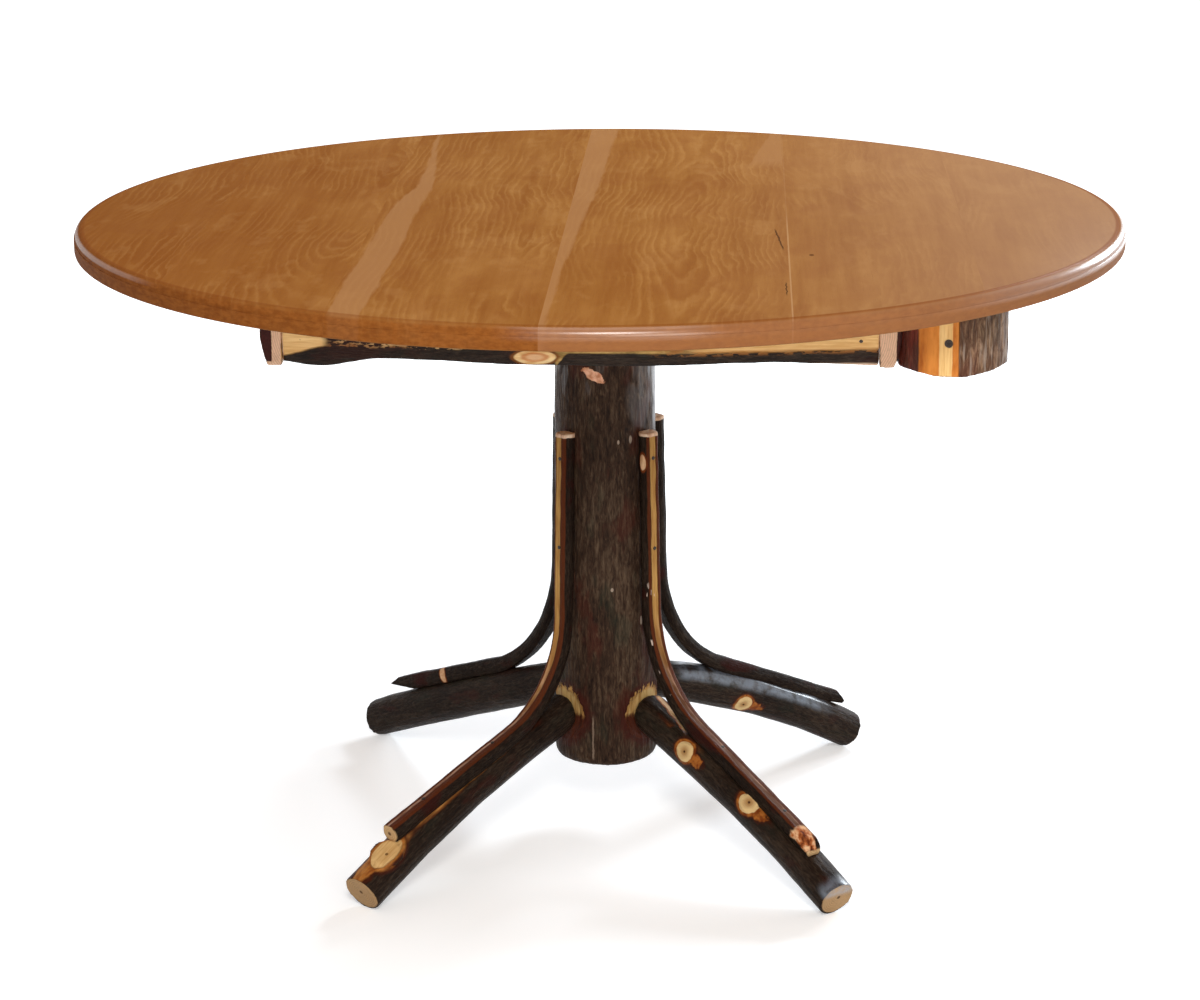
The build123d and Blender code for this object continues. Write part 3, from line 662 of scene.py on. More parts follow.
# %% Bark and bare wood as layers
def bark_layers(finish, grain, fine, red, light, green=0.5):
    """Colour, roughness and height of bark, along the first axis of the grain."""
    def lit(*colour):
        return tuple(v * light for v in colour)

    ridge = finish.drawn(grain, 0.24, 300.0 * fine, 4.0, 0.6, 0.8)
    furrow = finish.drawn(grain, 0.10, 210.0 * fine, 3.0, 0.6, 0.4)
    hair = finish.drawn(grain, 0.16, 900.0 * fine, 3.0, 0.6)
    patch = finish.drawn(grain, 0.5, 20.0, 3.0, 0.55)
    tint = finish.drawn(grain, 0.4, 30.0, 3.0, 0.55)
    tone = ridge * 0.40 + furrow * 0.22 + patch * 0.22 + hair * 0.16
    colour = finish.glaze(
        finish.ramp(tone, (0.38, lit(24, 14, 10)), (0.5, lit(50, 36, 27)), (0.62, lit(82, 66, 52))),
        (tint.over(0.55, 0.68) * green, lit(38, 46, 36)),
        (tint.over(0.45, 0.34) * red, lit(70, 28, 20)))
    rough = 0.44 - tone.over(0.4, 0.65) * 0.12
    height = ridge * 0.0016 + furrow * 0.0016 + hair * 0.0005
    return colour, rough, height


def bare_layers(finish, grain, light, dark):
    """Colour, roughness and height of shaved or planed wood."""
    fibre = finish.drawn(grain, 0.05, 500.0, 4.0, 0.6)
    cloud = finish.drawn(grain, 0.3, 60.0, 3.0, 0.5)
    colour = finish.mix((fibre * 0.6 + cloud * 0.4).over(0.3, 0.7), dark, light)
    return colour, 0.42 + (fibre - 0.5) * 0.1, fibre * 0.0002


class Layers:
    """Bark, and a pile of finishes on it: each new layer covers the ones below by its mask."""

    def __init__(self, name, coat_roughness=0.1, specular=0.03, **bark):
        self.finish = Finish(name, specular, coat_roughness)
        self.grain = self.finish.grain()
        self.axes = [self.grain.part(axis) for axis in "XYZ"]
        self.colour, self.rough, self.height = bark_layers(self.finish, self.grain, **bark)

    def torn(self, share, *settings):
        """Noise about zero, drawn out along the grain, which tears the edges of masks."""
        return self.finish.drawn(self.grain, share, *settings) - 0.5

    def cover(self, mask, colour, rough=None, height=None):
        self.colour = self.finish.mix(mask, self.colour, colour)
        if rough is not None:
            self.rough = self.rough + (rough - self.rough) * mask
        if height is not None:
            self.height = self.height + (height - self.height) * mask

    def bare(self, mask, light, dark):
        self.cover(mask, *bare_layers(self.finish, self.grain, light, dark))

    def knot(self, centre, size):
        """A sawn-off branch: cream wood with its pith, an orange collar, and a tail along the grain."""
        finish, grain = self.finish, self.grain
        along, left, up = centre
        wobble = finish.noise(grain, 85.0, 3.0, 0.6) - 0.5
        near = finish.spread(grain, centre, (size * 1.12, size, size)) + wobble * 0.34
        behind = finish.spread(grain, (along + size * 1.45, left, up),
                               (size * 1.85, size * 0.78, size * 0.80)) + wobble * 1.3
        collar = near.over(1.75, 1.45).most(behind.over(1.25, 0.95))
        self.cover(collar * 0.85, (58, 26, 15), 0.4)
        glow = near.over(1.50, 1.22).most(behind.over(0.95, 0.75))
        orange = finish.mix(finish.noise(grain, 140.0, 3.0).over(0.35, 0.65), (122, 58, 22), (176, 106, 46))
        self.cover(glow * 0.95, orange, 0.36)
        rings = (near * 46.0).math("SINE") * 0.5 + 0.5
        cream = finish.glaze(finish.mix(near.over(0.85, 0.15), (226, 194, 138), (178, 134, 84)),
                             (rings * 0.12, (140, 96, 56)))
        self.cover(near.over(1.13, 1.03), cream, 0.42)
        self.cover(near.over(0.20, 0.08), (70, 40, 24), 0.6)

    def sawn_end(self, at, width, radius, light, pith=(0.0, 0.0)):
        """End grain beyond a place along the log, with its rings."""
        finish, grain = self.finish, self.grain
        side = 1.0 if width > 0 else -1.0
        along = self.axes[0] * side
        wobble = finish.noise(grain, 70.0, 3.0) - 0.5
        off = finish.spread(grain, (at, *pith), (1e6, 1.0, 1.0))
        rings = ((off + wobble * 0.003) * 2600.0).math("SINE") * 0.5 + 0.5
        dark = tuple(v * 0.74 for v in light)
        wood = finish.glaze(
            finish.mix(rings * 0.5, light, dark),
            (finish.noise(grain, 260.0, 3.0, 0.6).over(0.5, 0.75) * 0.35, dark),
            (off.over(0.0030, 0.0016) * 0.85, (72, 46, 30)))
        rim = off.over(radius - 0.0009, radius - 0.0022)
        self.cover(along.over(at * side - abs(width), at * side - abs(width) * 0.4) * rim, wood, 0.5,
                   finish.noise(grain, 420.0, 3.0) * 0.0003)

    def material(self, coat=None):
        return self.finish.surface(self.colour, self.rough, self.height, coat)


# %% [markdown]
# ## The trunk
# The trunk carries everything. Its foot is rounded over, and the bark is cut away in a small dish round
# each leg's root, where pale wood and a red edge of inner bark show. The dishes are pressed into the
# skin in code, because their edge is torn and not a clean circle.

# %% Legs and braces as numbers
class LegPlan:
    """One leg and its brace. Places on their middle lines are given as how far out and how high.

    A brace is its azimuth, offset, head, foot and tail, and the radius of its bend. A knot or a pad is
    its share of the pole's length, its turn round the pole and its size. The seat is planed between two
    lengths, and between two others the varnish shines and a pale bluish sheen is painted on the bark.
    """

    def __init__(self, side, azimuth, offset, root, middle, end, radii, brace, knots=(), pads=(),
                 seat=(0.5, 0.6), sheen=(0.5, 0.6), lift=0.0):
        self.side, self.root, self.radii = side, root, radii
        self.knots, self.pads, self.seat, self.sheen, self.lift = knots, pads, seat, sheen, lift
        self.upright = Upright(azimuth, offset, arc_line(root, middle, end))
        self.brace = Upright(*brace[:2], bent_line(*brace[2:]))

    def radius(self, share):
        """The pole's radius at one share of its length, or at many."""
        root, end = self.radii
        return root + (end - root) * np.sin(share * math.pi / 2)


leg_plans = (
    LegPlan("front_left", -127.6, -0.018, (0.0585, 0.143), (0.24067, 0.09266), (0.415, 0.01964),
            (0.025, 0.0236),
            (-130.28, -0.00086, (0.06829, 0.496), (0.07629, 0.17497), (0.36644, 0.07879), 0.135),
            knots=((0.87, 18.0, 0.017),), seat=(0.012, 0.35)),
    LegPlan("front_right", -51.6, 0.018, (0.0585, 0.143), (0.24232, 0.09153), (0.419, 0.01925),
            (0.0245, 0.023),
            (-50.92, 0.01353, (0.06695, 0.496), (0.07495, 0.18714), (0.37819, 0.06753), 0.145),
            knots=((0.27, -66.0, 0.0112), (0.58, -43.0, 0.0120)),
            pads=((0.20, -62.0, 0.011), (0.49, -48.0, 0.013)), seat=(0.004, 0.13), sheen=(0.36, 0.45)),
    LegPlan("back_right", 40.4, 0.0, (0.0585, 0.161), (0.2333, 0.10142), (0.398, 0.01789),
            (0.0245, 0.0226),
            (42.21, -0.0121, (0.06722, 0.496), (0.07522, 0.20362), (0.38381, 0.06438), 0.165),
            knots=((0.425, -122.0, 0.0105),), pads=((0.47, -118.0, 0.011),),
            sheen=(0.03, 0.32), lift=0.0035),
    LegPlan("back_left", 137.9, 0.0, (0.0585, 0.160), (0.23997, 0.09165), (0.420, 0.01958),
            (0.0235, 0.0228),
            (137.23, 0.00449, (0.06815, 0.496), (0.07615, 0.1909), (0.38597, 0.07451), 0.175),
            lift=0.0045),
)
for plan in leg_plans:
    print(plan.side, "leg", round(plan.upright.length(), 4), "brace", round(plan.brace.length(), 4))


# %% Model the trunk
dish_width, dish_depth, dish_slope, dish_tear = 0.0085, 0.0014, 0.002, 0.0035


def press_dishes(piece):
    """Cuts the bark away round each leg's root."""
    places = corners_of(piece)
    outward = places[:, :2] - (trunk_x, 0.0)
    far = np.maximum(np.hypot(*outward.T), 1e-6)
    push = np.zeros(len(places))
    for plan in leg_plans:
        upright, reach = plan.upright, plan.radii[0] + dish_width
        local = places - upright.point(plan.root)
        ring = np.hypot(local @ upright.left, local[:, 2])
        for i in np.where((ring < reach + 0.006) & (local @ upright.out > -0.03))[0]:
            torn = noise.noise(Vector(places[i]) * 160.0) * dish_tear
            depth = min(max((reach + torn - ring[i]) / dish_slope, 0.0), 1.0)
            push[i] = max(push[i], depth * dish_depth)
    push[far <= 0.05] = 0.0
    places[:, :2] -= outward / far[:, None] * push[:, None]
    move_corners(piece, places)
    print(int((push > 0.0).sum()), "corners of the trunk pressed in")


trunk = copy_solid("trunk_log", "trunk")
skin(trunk, 0.0021, 8)
relief(trunk, (0.05, 0.05, 0.30), 0.0022)
press_dishes(trunk)
relief(trunk, (0.0055, 0.0055, 0.045), 0.0011, hard=True)
straight_grain(trunk, (trunk_x, 0, 0), (0, 0, 1), (1, 0, 0), (0, 1, 0))


# %% The trunk's finish
def trunk_finish():
    """Bark with a pale dish round each leg, a chip, a scratch and a sheen near the top."""
    layers = Layers("trunk_bark", 0.30, fine=0.95, red=0.32, light=1.12, green=0.32)
    finish, grain = layers.finish, layers.grain
    height, left, back = layers.axes
    torn = layers.torn(1.0, 130.0, 3.0, 0.6)

    # the dishes round the legs: pale wood inside, a red edge of inner bark outside
    spiky = layers.torn(0.12, 300.0, 3.0, 0.7)
    for plan in leg_plans:
        upright, reach = plan.upright, plan.radii[0] + dish_width
        root = upright.point(plan.root)
        out, side = ((0.0, float(way[0]), float(way[1])) for way in (upright.out, upright.left))
        local = grain.vector("SUBTRACT", (float(root[2]), float(root[0] - trunk_x), float(root[1])))
        sideways = local.vector("DOT_PRODUCT", side, 1)
        ahead = local.vector("DOT_PRODUCT", out, 1).over(-0.05, -0.04)
        upwards = local.part("X")
        ring = (sideways * sideways + upwards * upwards) ** 0.5
        upper = (upwards + torn * 0.016).over(-0.004, 0.005)
        layers.cover((ring + torn * 0.018).over(reach + 0.013, reach + 0.002) * ahead * 0.75,
                     (62, 25, 19), 0.40)
        pale = (ring + torn * 0.012 + spiky * 0.034 * upwards.over(0.012, 0.028)).over(
            reach + 0.0006, reach - 0.0014) * ahead
        layers.bare(pale * upper, (214, 184, 124), (150, 104, 52))
        layers.cover(pale * upper * (ring + torn * 0.008).over(reach - 0.0065, reach - 0.0035) * 0.55,
                     (176, 120, 62), 0.4)
        layers.cover(pale * (1 - upper) * 0.6, (84, 42, 26), 0.4)

    # a chip near the top, a scratch near the foot and a few flakes
    slant = grain.vector("ADD", finish.node("ShaderNodeCombineXYZ", None, {0: (left + 0.010) * 0.42}))
    chip = finish.spread(slant, (0.5665, -0.0105, -0.058), (0.0072, 0.0130, 0.03)) + torn * 0.9
    layers.cover(chip.over(1.20, 1.0) * 0.8, (52, 24, 16), 0.4)
    layers.cover(chip.over(1.06, 0.90),
                 finish.mix(torn.over(-0.2, 0.2), (190, 122, 86), (244, 192, 160)), 0.4)
    scratch = ((left + 0.0135 + torn * 0.003).size().over(0.0014, 0.0007)
               * height.over(0.088, 0.094) * height.over(0.150, 0.135) * back.over(0.0, -0.02))
    layers.cover(scratch * 0.75, (132, 112, 96), 0.5)
    for at, aside, tall, wide in ((0.305, 0.010, 0.0024, 0.0018), (0.488, 0.032, 0.0050, 0.0016),
                                  (0.486, 0.018, 0.0026, 0.0014), (0.262, 0.044, 0.0060, 0.0014)):
        flake = finish.spread(grain, (at, aside, -0.06), (tall, wide, 0.04)) + torn * 0.6
        layers.cover(flake.over(1.2, 0.8) * 0.8, (168, 150, 134), 0.5)

    # the underside, and the gloss of the varnish near the top
    layers.sawn_end(0.0802, -0.0016, 0.060, (150, 116, 80), (0.004, -0.006))
    runs = finish.drawn(grain, 0.3, 55.0, 3.0, 0.6)
    sheen = (height.over(0.475, 0.515) * left.over(0.022, 0.036)).most(
        runs.over(0.56, 0.64) * height.over(0.46, 0.53) * 0.7)
    return layers.material(sheen * runs.over(0.36, 0.50) * 0.55 + 0.03)


dress(trunk, trunk_finish(), "trunk")

# %% [markdown]
# ## The legs
# Each leg is a bark-on pole, a little bowed, with a sawn outer end. Branch stubs were sawn off flush and
# show as cream ovals in an orange collar. The flat that was planed for the brace shows as a paler strip.

# %% Model the legs
def leg_turn(plan):
    """A frame whose first axis runs down the leg."""
    upright = plan.upright
    start, stop = upright.point(upright.line[0]), upright.point(upright.line[-1])
    along = Vector(stop - start).normalized()
    side = Vector(upright.left)
    up = along.cross(side)
    turn = Matrix((along, side, up)).transposed().to_4x4()
    turn.translation = Vector(start)
    return turn


def reshape_knots(piece, plan):
    """Takes the solid's knot pads down to the pole and leaves a low, flat face at each knot."""
    places = corners_of(piece)
    grain = plan.upright.measure(places)
    length = plan.upright.length()
    around = np.arctan2(grain[:, 1], grain[:, 2])
    off = np.hypot(grain[:, 1], grain[:, 2])
    pole = plan.radius(np.clip(grain[:, 0] / length, 0.0, 1.0))
    wanted = off.copy()

    def swing_and_gap(share, turn):
        swing = (around - math.radians(turn) + math.pi) % (2 * math.pi) - math.pi
        return swing, np.hypot(grain[:, 0] - share * length, pole * swing)

    for share, turn, size in plan.pads:
        _, gap = swing_and_gap(share, turn)
        wanted += (np.minimum(wanted, pole) - wanted) * rise(gap, size * 1.7, size * 1.3)
    for share, turn, size in plan.knots:
        if size < large_knot:
            swing, gap = swing_and_gap(share, turn)
            flat = np.minimum((pole - 0.0004) / np.cos(np.clip(swing, -1.0, 1.0)), pole + 0.0020)
            wanted += (np.maximum(flat, wanted) - wanted) * rise(gap, size * 1.12, size * 0.92)
    turn = np.array(leg_turn(plan).to_3x3())
    outward = turn[:, 1] * np.sin(around)[:, None] + turn[:, 2] * np.cos(around)[:, None]
    move_corners(piece, places + outward * (wanted - off)[:, None])


def lift_back(piece, plan):
    """Fills the pole out on its upper side, so that the brace lies on it."""
    places = corners_of(piece)
    grain = plan.upright.measure(places)
    reach = rise(grain[:, 0], 0.02, 0.12) * rise(grain[:, 0], 0.42, 0.35)
    places[:, 2] += plan.lift * rise(grain[:, 2], 0.0, 0.015) * reach
    move_corners(piece, places)


def keep_on_floor(piece):
    """Relief may not push a leg's sole through the floor."""
    places = corners_of(piece)
    places[:, 2] = np.maximum(places[:, 2], 0.0)
    move_corners(piece, places)


large_knot = 0.015  # from this size on, a knot is long and its face isn't flattened
legs = {}
for plan in leg_plans:
    leg = copy_solid(f"leg_pole_{plan.side}", f"leg_{plan.side}")
    skin(leg, 0.0017, 6)
    relief(leg, (0.16, 0.03, 0.03), 0.0020, turn=leg_turn(plan))
    reshape_knots(leg, plan)
    lift_back(leg, plan)
    relief(leg, (0.040, 0.006, 0.006), 0.0006, hard=True, turn=leg_turn(plan))
    keep_on_floor(leg)
    store_grain(leg, plan.upright.measure(corners_of(leg)))
    legs[plan.side] = leg
    print(leg.name, "has", len(leg.data.vertices), "corners")


# %% The legs' finish
def leg_finish(plan):
    """Bark with the planed seat under the brace, the knots, the sawn end and a painted sheen."""
    layers = Layers(f"leg_bark_{plan.side}", 0.28, fine=1.2, red=0.55, light=0.76, green=0.3)
    finish, grain = layers.finish, layers.grain
    along, left, up = layers.axes
    length = plan.upright.length()
    root, end = plan.radii
    torn = layers.torn(0.5, 90.0, 3.0, 0.6)

    # the planed seat under the brace lies below the round of the pole
    sunk = (root + (end - root) * (along / length).most(0.0).math("SINE")
            - (left * left + up * up) ** 0.5)
    first, last = plan.seat
    under = (up.over(0.0105, 0.0135) * (left + torn * 0.008).size().over(0.0170, 0.0140)
             * along.over(first, first + 0.006) * along.over(last, last - 0.03))
    layers.cover((sunk + torn * 0.001).over(0.0002, 0.0016) * under * 0.8, (84, 38, 20), 0.4)
    layers.bare((sunk + torn * 0.0008).over(0.0008, 0.0020) * under, (196, 140, 78), (136, 74, 32))
    if plan.side == "front_right":
        peeled = (left - 0.0095 + along * 0.18 + torn * 0.008).size()
        where = up.over(0.010, 0.014) * along.over(0.004, 0.010) * along.over(0.088, 0.074)
        layers.cover(peeled.over(0.0058, 0.0042) * where * 0.9, (150, 82, 36), 0.4)
        layers.bare(peeled.over(0.0036, 0.0024) * where, (222, 184, 124), (176, 124, 66))

    # knots, one of them long, with a flame of inner bark beside it
    for share, turn, size in plan.knots:
        turn, reach = math.radians(turn), float(plan.radius(share))
        centre = Vector((share * length, reach * math.sin(turn), reach * math.cos(turn)))
        if size < large_knot:
            layers.knot(tuple(centre), size)
            continue
        near = finish.spread(grain, centre, (size * 1.35, size * 0.72, size * 0.95)) + torn * 0.25
        flame = finish.spread(grain, centre + Vector((0.024, -0.007, 0.0)), (0.040, 0.013, 0.03)) + torn * 0.8
        layers.cover(near.over(1.6, 1.3).most(flame.over(1.2, 0.95)) * 0.9, (66, 28, 15), 0.38)
        glow = finish.mix(torn.over(-0.2, 0.2), (140, 76, 30), (190, 126, 62))
        layers.cover(near.over(1.38, 1.12).most(flame.over(0.95, 0.7)) * 0.95, glow, 0.36)
        layers.bare(near.over(1.10, 0.98), (222, 186, 128), (186, 140, 84))
        dot = finish.spread(grain, centre + Vector((0.002, 0.002, 0.0)), (0.0022, 0.002, 0.004))
        layers.cover(dot.over(1.1, 0.7) * 0.8, (84, 52, 30), 0.5)

    # the sawn end, and a painted sheen: pale bluish blots painted on the bark where the light grazes the
    # varnish, which is glossier there
    layers.sawn_end(length, 0.0016, end + 0.0015, (186, 150, 108), (0.001, 0.0035))
    first, last = plan.sheen
    sheen = along.over(first, first + 0.02) * along.over(last, last - 0.06) * up.over(0.004, 0.013)
    painted_sheen_blots = finish.noise(grain, 60.0, 3.0, 0.6).over(0.30, 0.62)
    layers.cover(sheen * painted_sheen_blots * 0.56, (138, 149, 164), 0.36)
    return layers.material(sheen * 0.8 + 0.03)


for plan in leg_plans:
    dress(legs[plan.side], leg_finish(plan), f"leg_{plan.side}")

# %% [markdown]
# ## The braces
# A green sapling was split and shaved on its outer face, bent over the leg and nailed at both ends. Its
# sides keep their dark, reddish bark, and the shaved face is golden.

# %% Model the braces
def settle_on_leg(piece, plan, drop, taper):
    """Lowers the underside of a brace's tail until it meets the pole, and thins its tip."""
    places = corners_of(piece)
    length = plan.brace.length()
    along, _, up = plan.brace.measure(places).T
    places[:, 2] += np.clip(0.0075 - up, 0.0, 0.02) * rise(along, length - 0.045, length) * taper
    places[:, 2] -= drop * rise(along, 0.34, 0.38) * rise(up, 0.006, -0.006)
    move_corners(piece, places)


tail_drop = 0.002
braces = {}
for plan, tip_taper in zip(leg_plans, (0.0, 0.0, 0.35, 0.8)):
    brace = copy_solid(f"brace_strip_{plan.side}", f"brace_{plan.side}")
    skin(brace, 0.0012, 6)
    settle_on_leg(brace, plan, tail_drop, tip_taper)
    relief(brace, (0.035, 0.035, 0.035), 0.0016)
    relief(brace, (0.006, 0.006, 0.018), 0.0004)
    store_grain(brace, plan.brace.measure(corners_of(brace)))
    braces[plan.side] = brace
    print(brace.name, "has", len(brace.data.vertices), "corners")


# %% The braces' finish
def golden_face(layers, torn, narrow, low, worn_tail):
    """The shaved face, golden on the trunk and worn to a red brown towards the tail."""
    finish = layers.finish
    along, left, up = layers.axes
    fade = along.over(0.20, 0.34) if worn_tail else along.over(0.24, 0.40)
    flat = up + torn * 0.0022 - fade * 0.0004 + (0.0006 if worn_tail else 0.0)
    strip = flat.over(0.0076, 0.0084) * (
        (left + narrow).size() + torn * 0.003 + narrow + fade * low).over(0.0058, 0.0046)
    layers.cover((up + torn * 0.002).over(0.0066, 0.0080) * 0.75, (96, 46, 22), 0.38)
    colour, rough, height = bare_layers(finish, layers.grain, (192, 150, 88), (150, 104, 54))
    worn = finish.mix(torn.over(-0.15, 0.2), (104, 58, 42), (196, 158, 138))
    if worn_tail:
        outer = (left + torn * 0.006).over(-0.0004, 0.0028)
        worn = finish.mix(0.2 + outer * 0.8, (66, 34, 25), worn)
    layers.cover(strip, finish.mix(fade * 0.9, colour, worn), rough, height)


def broken_end(layers, length):
    """A tail that broke off instead of being sawn, and chips along one side."""
    finish, grain = layers.finish, layers.grain
    along, left, up = layers.axes
    end = layers.torn(1.0, 75.0, 3.0, 0.6)
    broken = ((along + end * 0.016).over(length - 0.034, length - 0.028)
              * (up + end * 0.010).over(-0.004, 0.0) * (left + end * 0.012).over(0.0062, 0.0042))
    flakes = finish.drawn(grain, 0.6, 105.0, 3.0, 0.55)
    rough_wood = finish.ramp(flakes, (0.36, (96, 44, 22)), (0.47, (178, 100, 54)), (0.60, (230, 184, 140)))
    layers.cover(broken, rough_wood, 0.5, flakes * 0.002)
    tip = (along + end * 0.006).over(length - 0.006, length - 0.004) * (up + end * 0.008).over(0.002, 0.005)
    layers.cover(tip, (44, 26, 18), 0.5)
    chips = finish.drawn(grain, 0.3, 170.0, 2.0, 0.5).over(0.645, 0.685)
    where = along.over(0.17, 0.20) * along.over(0.38, 0.33) * up.over(0.002, 0.005) * left.over(0.001, -0.002)
    layers.cover(chips * where * 0.8, (226, 204, 188), 0.4)


def brace_finish(plan, face, knots):
    """Reddish bark with a shaved face, a cut head, a sawn tail and knots."""
    layers = Layers(f"brace_bark_{plan.side}", 0.25, fine=1.5, red=0.95, light=0.70, green=0.0)
    finish, grain = layers.finish, layers.grain
    length = plan.brace.length()
    torn = layers.torn(0.25, 110.0, 3.0, 0.6)
    front_right = plan.side == "front_right"
    if face:
        golden_face(layers, torn, *face, worn_tail=front_right)
    head = finish.mix(torn.over(-0.2, 0.2), (206, 160, 128), (246, 222, 196))
    layers.cover((layers.axes[0] + torn * 0.004).over(0.0050, 0.0038), head, 0.5)
    layers.sawn_end(length, 0.0016, 0.0125, (210, 172, 124))
    for knot_at, knot_size in knots:
        near = finish.spread(grain, knot_at, knot_size) + torn * 0.7
        layers.cover(near.over(1.5, 1.2) * 0.9, (120, 58, 26), 0.38)
        layers.cover(near.over(1.12, 0.96),
                     finish.mix(torn.over(-0.2, 0.2), (196, 136, 88), (232, 192, 150)), 0.45)
    if front_right:
        broken_end(layers, length)
    return layers.material()


# each brace's golden face, as how far it is narrowed and how far it fades, and its knots
brace_looks = (
    ((0.0014, 0.0020), ()),
    ((0.0011, 0.0008), (((0.036, -0.0095, 0.002), (0.0100, 0.006, 0.0045)),)),
    (None, ()),
    (None, (((0.497, 0.008, 0.001), (0.0050, 0.007, 0.0105)),)),
)
for plan, look in zip(leg_plans, brace_looks):
    dress(braces[plan.side], brace_finish(plan, *look), f"brace_{plan.side}")

# %% [markdown]
# ## The apron
# The apron is four half-log slabs, bark side out. The lower edge keeps the log's own outline, and
# patches of the bark were shaved to pale wood before it was varnished.

# %% The slabs' finish
slab_x = -0.0075


def front_patches(layers, torn, cream, gold):
    """Where the front slab lost its bark: spots and a line, a band, a patch, and a long knot."""
    finish, grain = layers.finish, layers.grain
    along, low, _ = layers.axes
    x = along + slab_x
    line = low + torn * 0.006
    slope = low + torn * 0.004 - (x - 0.06) * 0.030
    speckle = finish.drawn(grain, 0.4, 200.0, 3.0, 0.6)
    top_line = (low + torn * 0.010).over(-0.0605, -0.0565) * x.over(-0.29, -0.27) * x.over(-0.07, -0.09)
    layers.cover(top_line * speckle.over(0.50, 0.57) * 0.85,
                 finish.mix(torn.over(-0.1, 0.15), (134, 76, 34), (222, 178, 120)), 0.4)
    olive = (x.over(-0.036, -0.032) * x.over(0.16, 0.12)
             * (low + torn * 0.004 - x.over(-0.040, -0.018) * 0.020).over(-0.0845, -0.082))
    layers.cover(olive, finish.mix(torn.over(-0.15, 0.15), (110, 84, 40), (204, 166, 100)), 0.4)
    mottled = speckle.over(0.47, 0.54) * slope.over(-0.0700, -0.0655) * x.over(0.06, 0.10)
    layers.cover(mottled * 0.8, (168, 110, 56), 0.4)
    right_band = (x + torn * 0.05).over(0.09, 0.13) * slope.over(-0.0665, -0.0635)
    layers.bare(right_band, cream, gold)
    layers.cover(right_band * slope.over(-0.0610, -0.0645) * 0.55, (176, 116, 56), 0.4)
    left_patch = ((x + torn * 0.010).over(-0.278, -0.288)
                  * (line - (x + 0.3375) * 0.26).over(-0.0715, -0.0685))
    layers.bare(left_patch, cream, gold)
    layers.cover(x.over(0.235, 0.26) * line.over(-0.072, -0.076) * 0.9, (244, 206, 176), 0.4)
    near = finish.spread(grain, (-0.0485, -0.0685, 0.018), (0.0215, 0.0080, 0.03)) + torn * 0.30
    layers.cover(near.over(1.35, 1.15) * 0.9, (120, 70, 30), 0.4)
    layers.cover(near.over(1.12, 1.0),
                 finish.mix(torn.over(-0.15, 0.1), (214, 160, 96), (246, 214, 158)), 0.42)
    layers.cover(near.over(0.82, 0.62) * 0.8, (202, 128, 76), 0.42)
    layers.cover(near.over(0.56, 0.30) * 0.8, (236, 192, 146), 0.42)


def slab_finish(side, half, wood_thickness):
    """Bark with shaved patches outside, sawn wood inside and at both ends."""
    layers = Layers(f"slab_{side}", specular=0.10, fine=1.1, red=0.40, light=0.80)
    finish, grain = layers.finish, layers.grain
    along, low, out = layers.axes
    torn = layers.torn(0.35, 60.0, 4.0, 0.6)
    cream, gold = (250, 212, 150), (206, 154, 88)
    if side == "front":
        front_patches(layers, torn, cream, gold)
    else:
        shaved = finish.drawn(grain, 0.35, 13.0, 2.0) + torn * 0.2
        layers.cover(shaved.over(0.49, 0.55) * 0.7, (120, 66, 30), 0.4)
        layers.bare(shaved.over(0.52, 0.58) * low.over(-0.076, -0.070), cream, gold)
        layers.knot((0.11 * half / 0.3225, -0.045, 0.024), 0.012)
    layers.bare((out + torn * 0.0003).over(0.0012, 0.0006), (196, 156, 104), (160, 114, 66))
    for way in (1.0, -1.0):
        layers.sawn_end(half * way, 0.0016 * way, 1.0, (236, 194, 162), (-0.04, -0.05))
    barked = (out + torn * 0.003).over(wood_thickness - 0.0006, wood_thickness + 0.0004)
    layers.cover(barked * low.over(-0.074, -0.0725) * along.size().over(half - 0.002, half - 0.0012),
                 finish.mix(torn + 0.5, (34, 18, 14), (74, 26, 20)), 0.42)
    return layers.material()


# %% Model the slabs
# side, middle, the ways along it and out of it, half its length, and how thick its wood is at the ends
slab_plans = (
    ("front", (slab_x, -0.321), (1, 0), (0, -1), 0.3225, 1.0),
    ("back", (slab_x, 0.321), (-1, 0), (0, 1), 0.3225, 1.0),
    ("left", (-0.330, 0.0), (0, -1), (-1, 0), 0.345, 0.011),
    ("right", (0.315, 0.0), (0, 1), (1, 0), 0.345, 0.0185),
)
underside = top_height - top_thickness
for side, (x, y), along, out, half, wood_thickness in slab_plans:
    slab = copy_solid(f"apron_slab_{side}", f"apron_{side}")
    skin(slab, 0.0018, 4)
    long_cell = (0.05, 0.008, 0.008) if along[0] else (0.008, 0.05, 0.008)
    relief(slab, tuple(v * 5 for v in long_cell), 0.0022)
    relief(slab, long_cell, 0.0010, hard=True)
    straight_grain(slab, (x, y, underside - 0.0002), (*along, 0), (0, 0, 1), (*out, 0))
    dress(slab, slab_finish(side, half, wood_thickness), f"apron_{side}")

# %% [markdown]
# ## The half-log block
# At the right end of the front stands a short half log. Its ridge was shaved through the bark, which
# shows orange, down to a pale stripe, and one screw goes through it.

# %% Model and finish the block
block_middle, block_turn, block_drop = (0.398, -0.322), math.radians(-12.0), 0.087


def shape_block(piece):
    """Widens the block's left flank and trims its foot, which slopes up to both sides."""
    places = corners_of(piece)
    aside = places[:, 0] - block_middle[0]
    places[:, 0] -= 0.0065 * rise(aside, -0.030, -0.055)
    trim = 0.0065 + 0.008 * rise(aside, 0.002, 0.052) + 0.003 * rise(aside, -0.025, -0.045)
    places[:, 2] += trim * rise(places[:, 2], underside - 0.045, underside - 0.080)
    move_corners(piece, places)


block = copy_solid("log_block_half", "log_block")
skin(block, 0.0014, 4)
relief(block, (0.03, 0.03, 0.16), 0.0018)
relief(block, (0.0055, 0.0055, 0.045), 0.0011, hard=True)
shape_block(block)
block_left = (math.cos(block_turn), math.sin(block_turn), 0)
block_out = (math.sin(block_turn), -math.cos(block_turn), 0)
straight_grain(block, (*block_middle, underside - block_drop), (0, 0, 1), block_left, block_out)


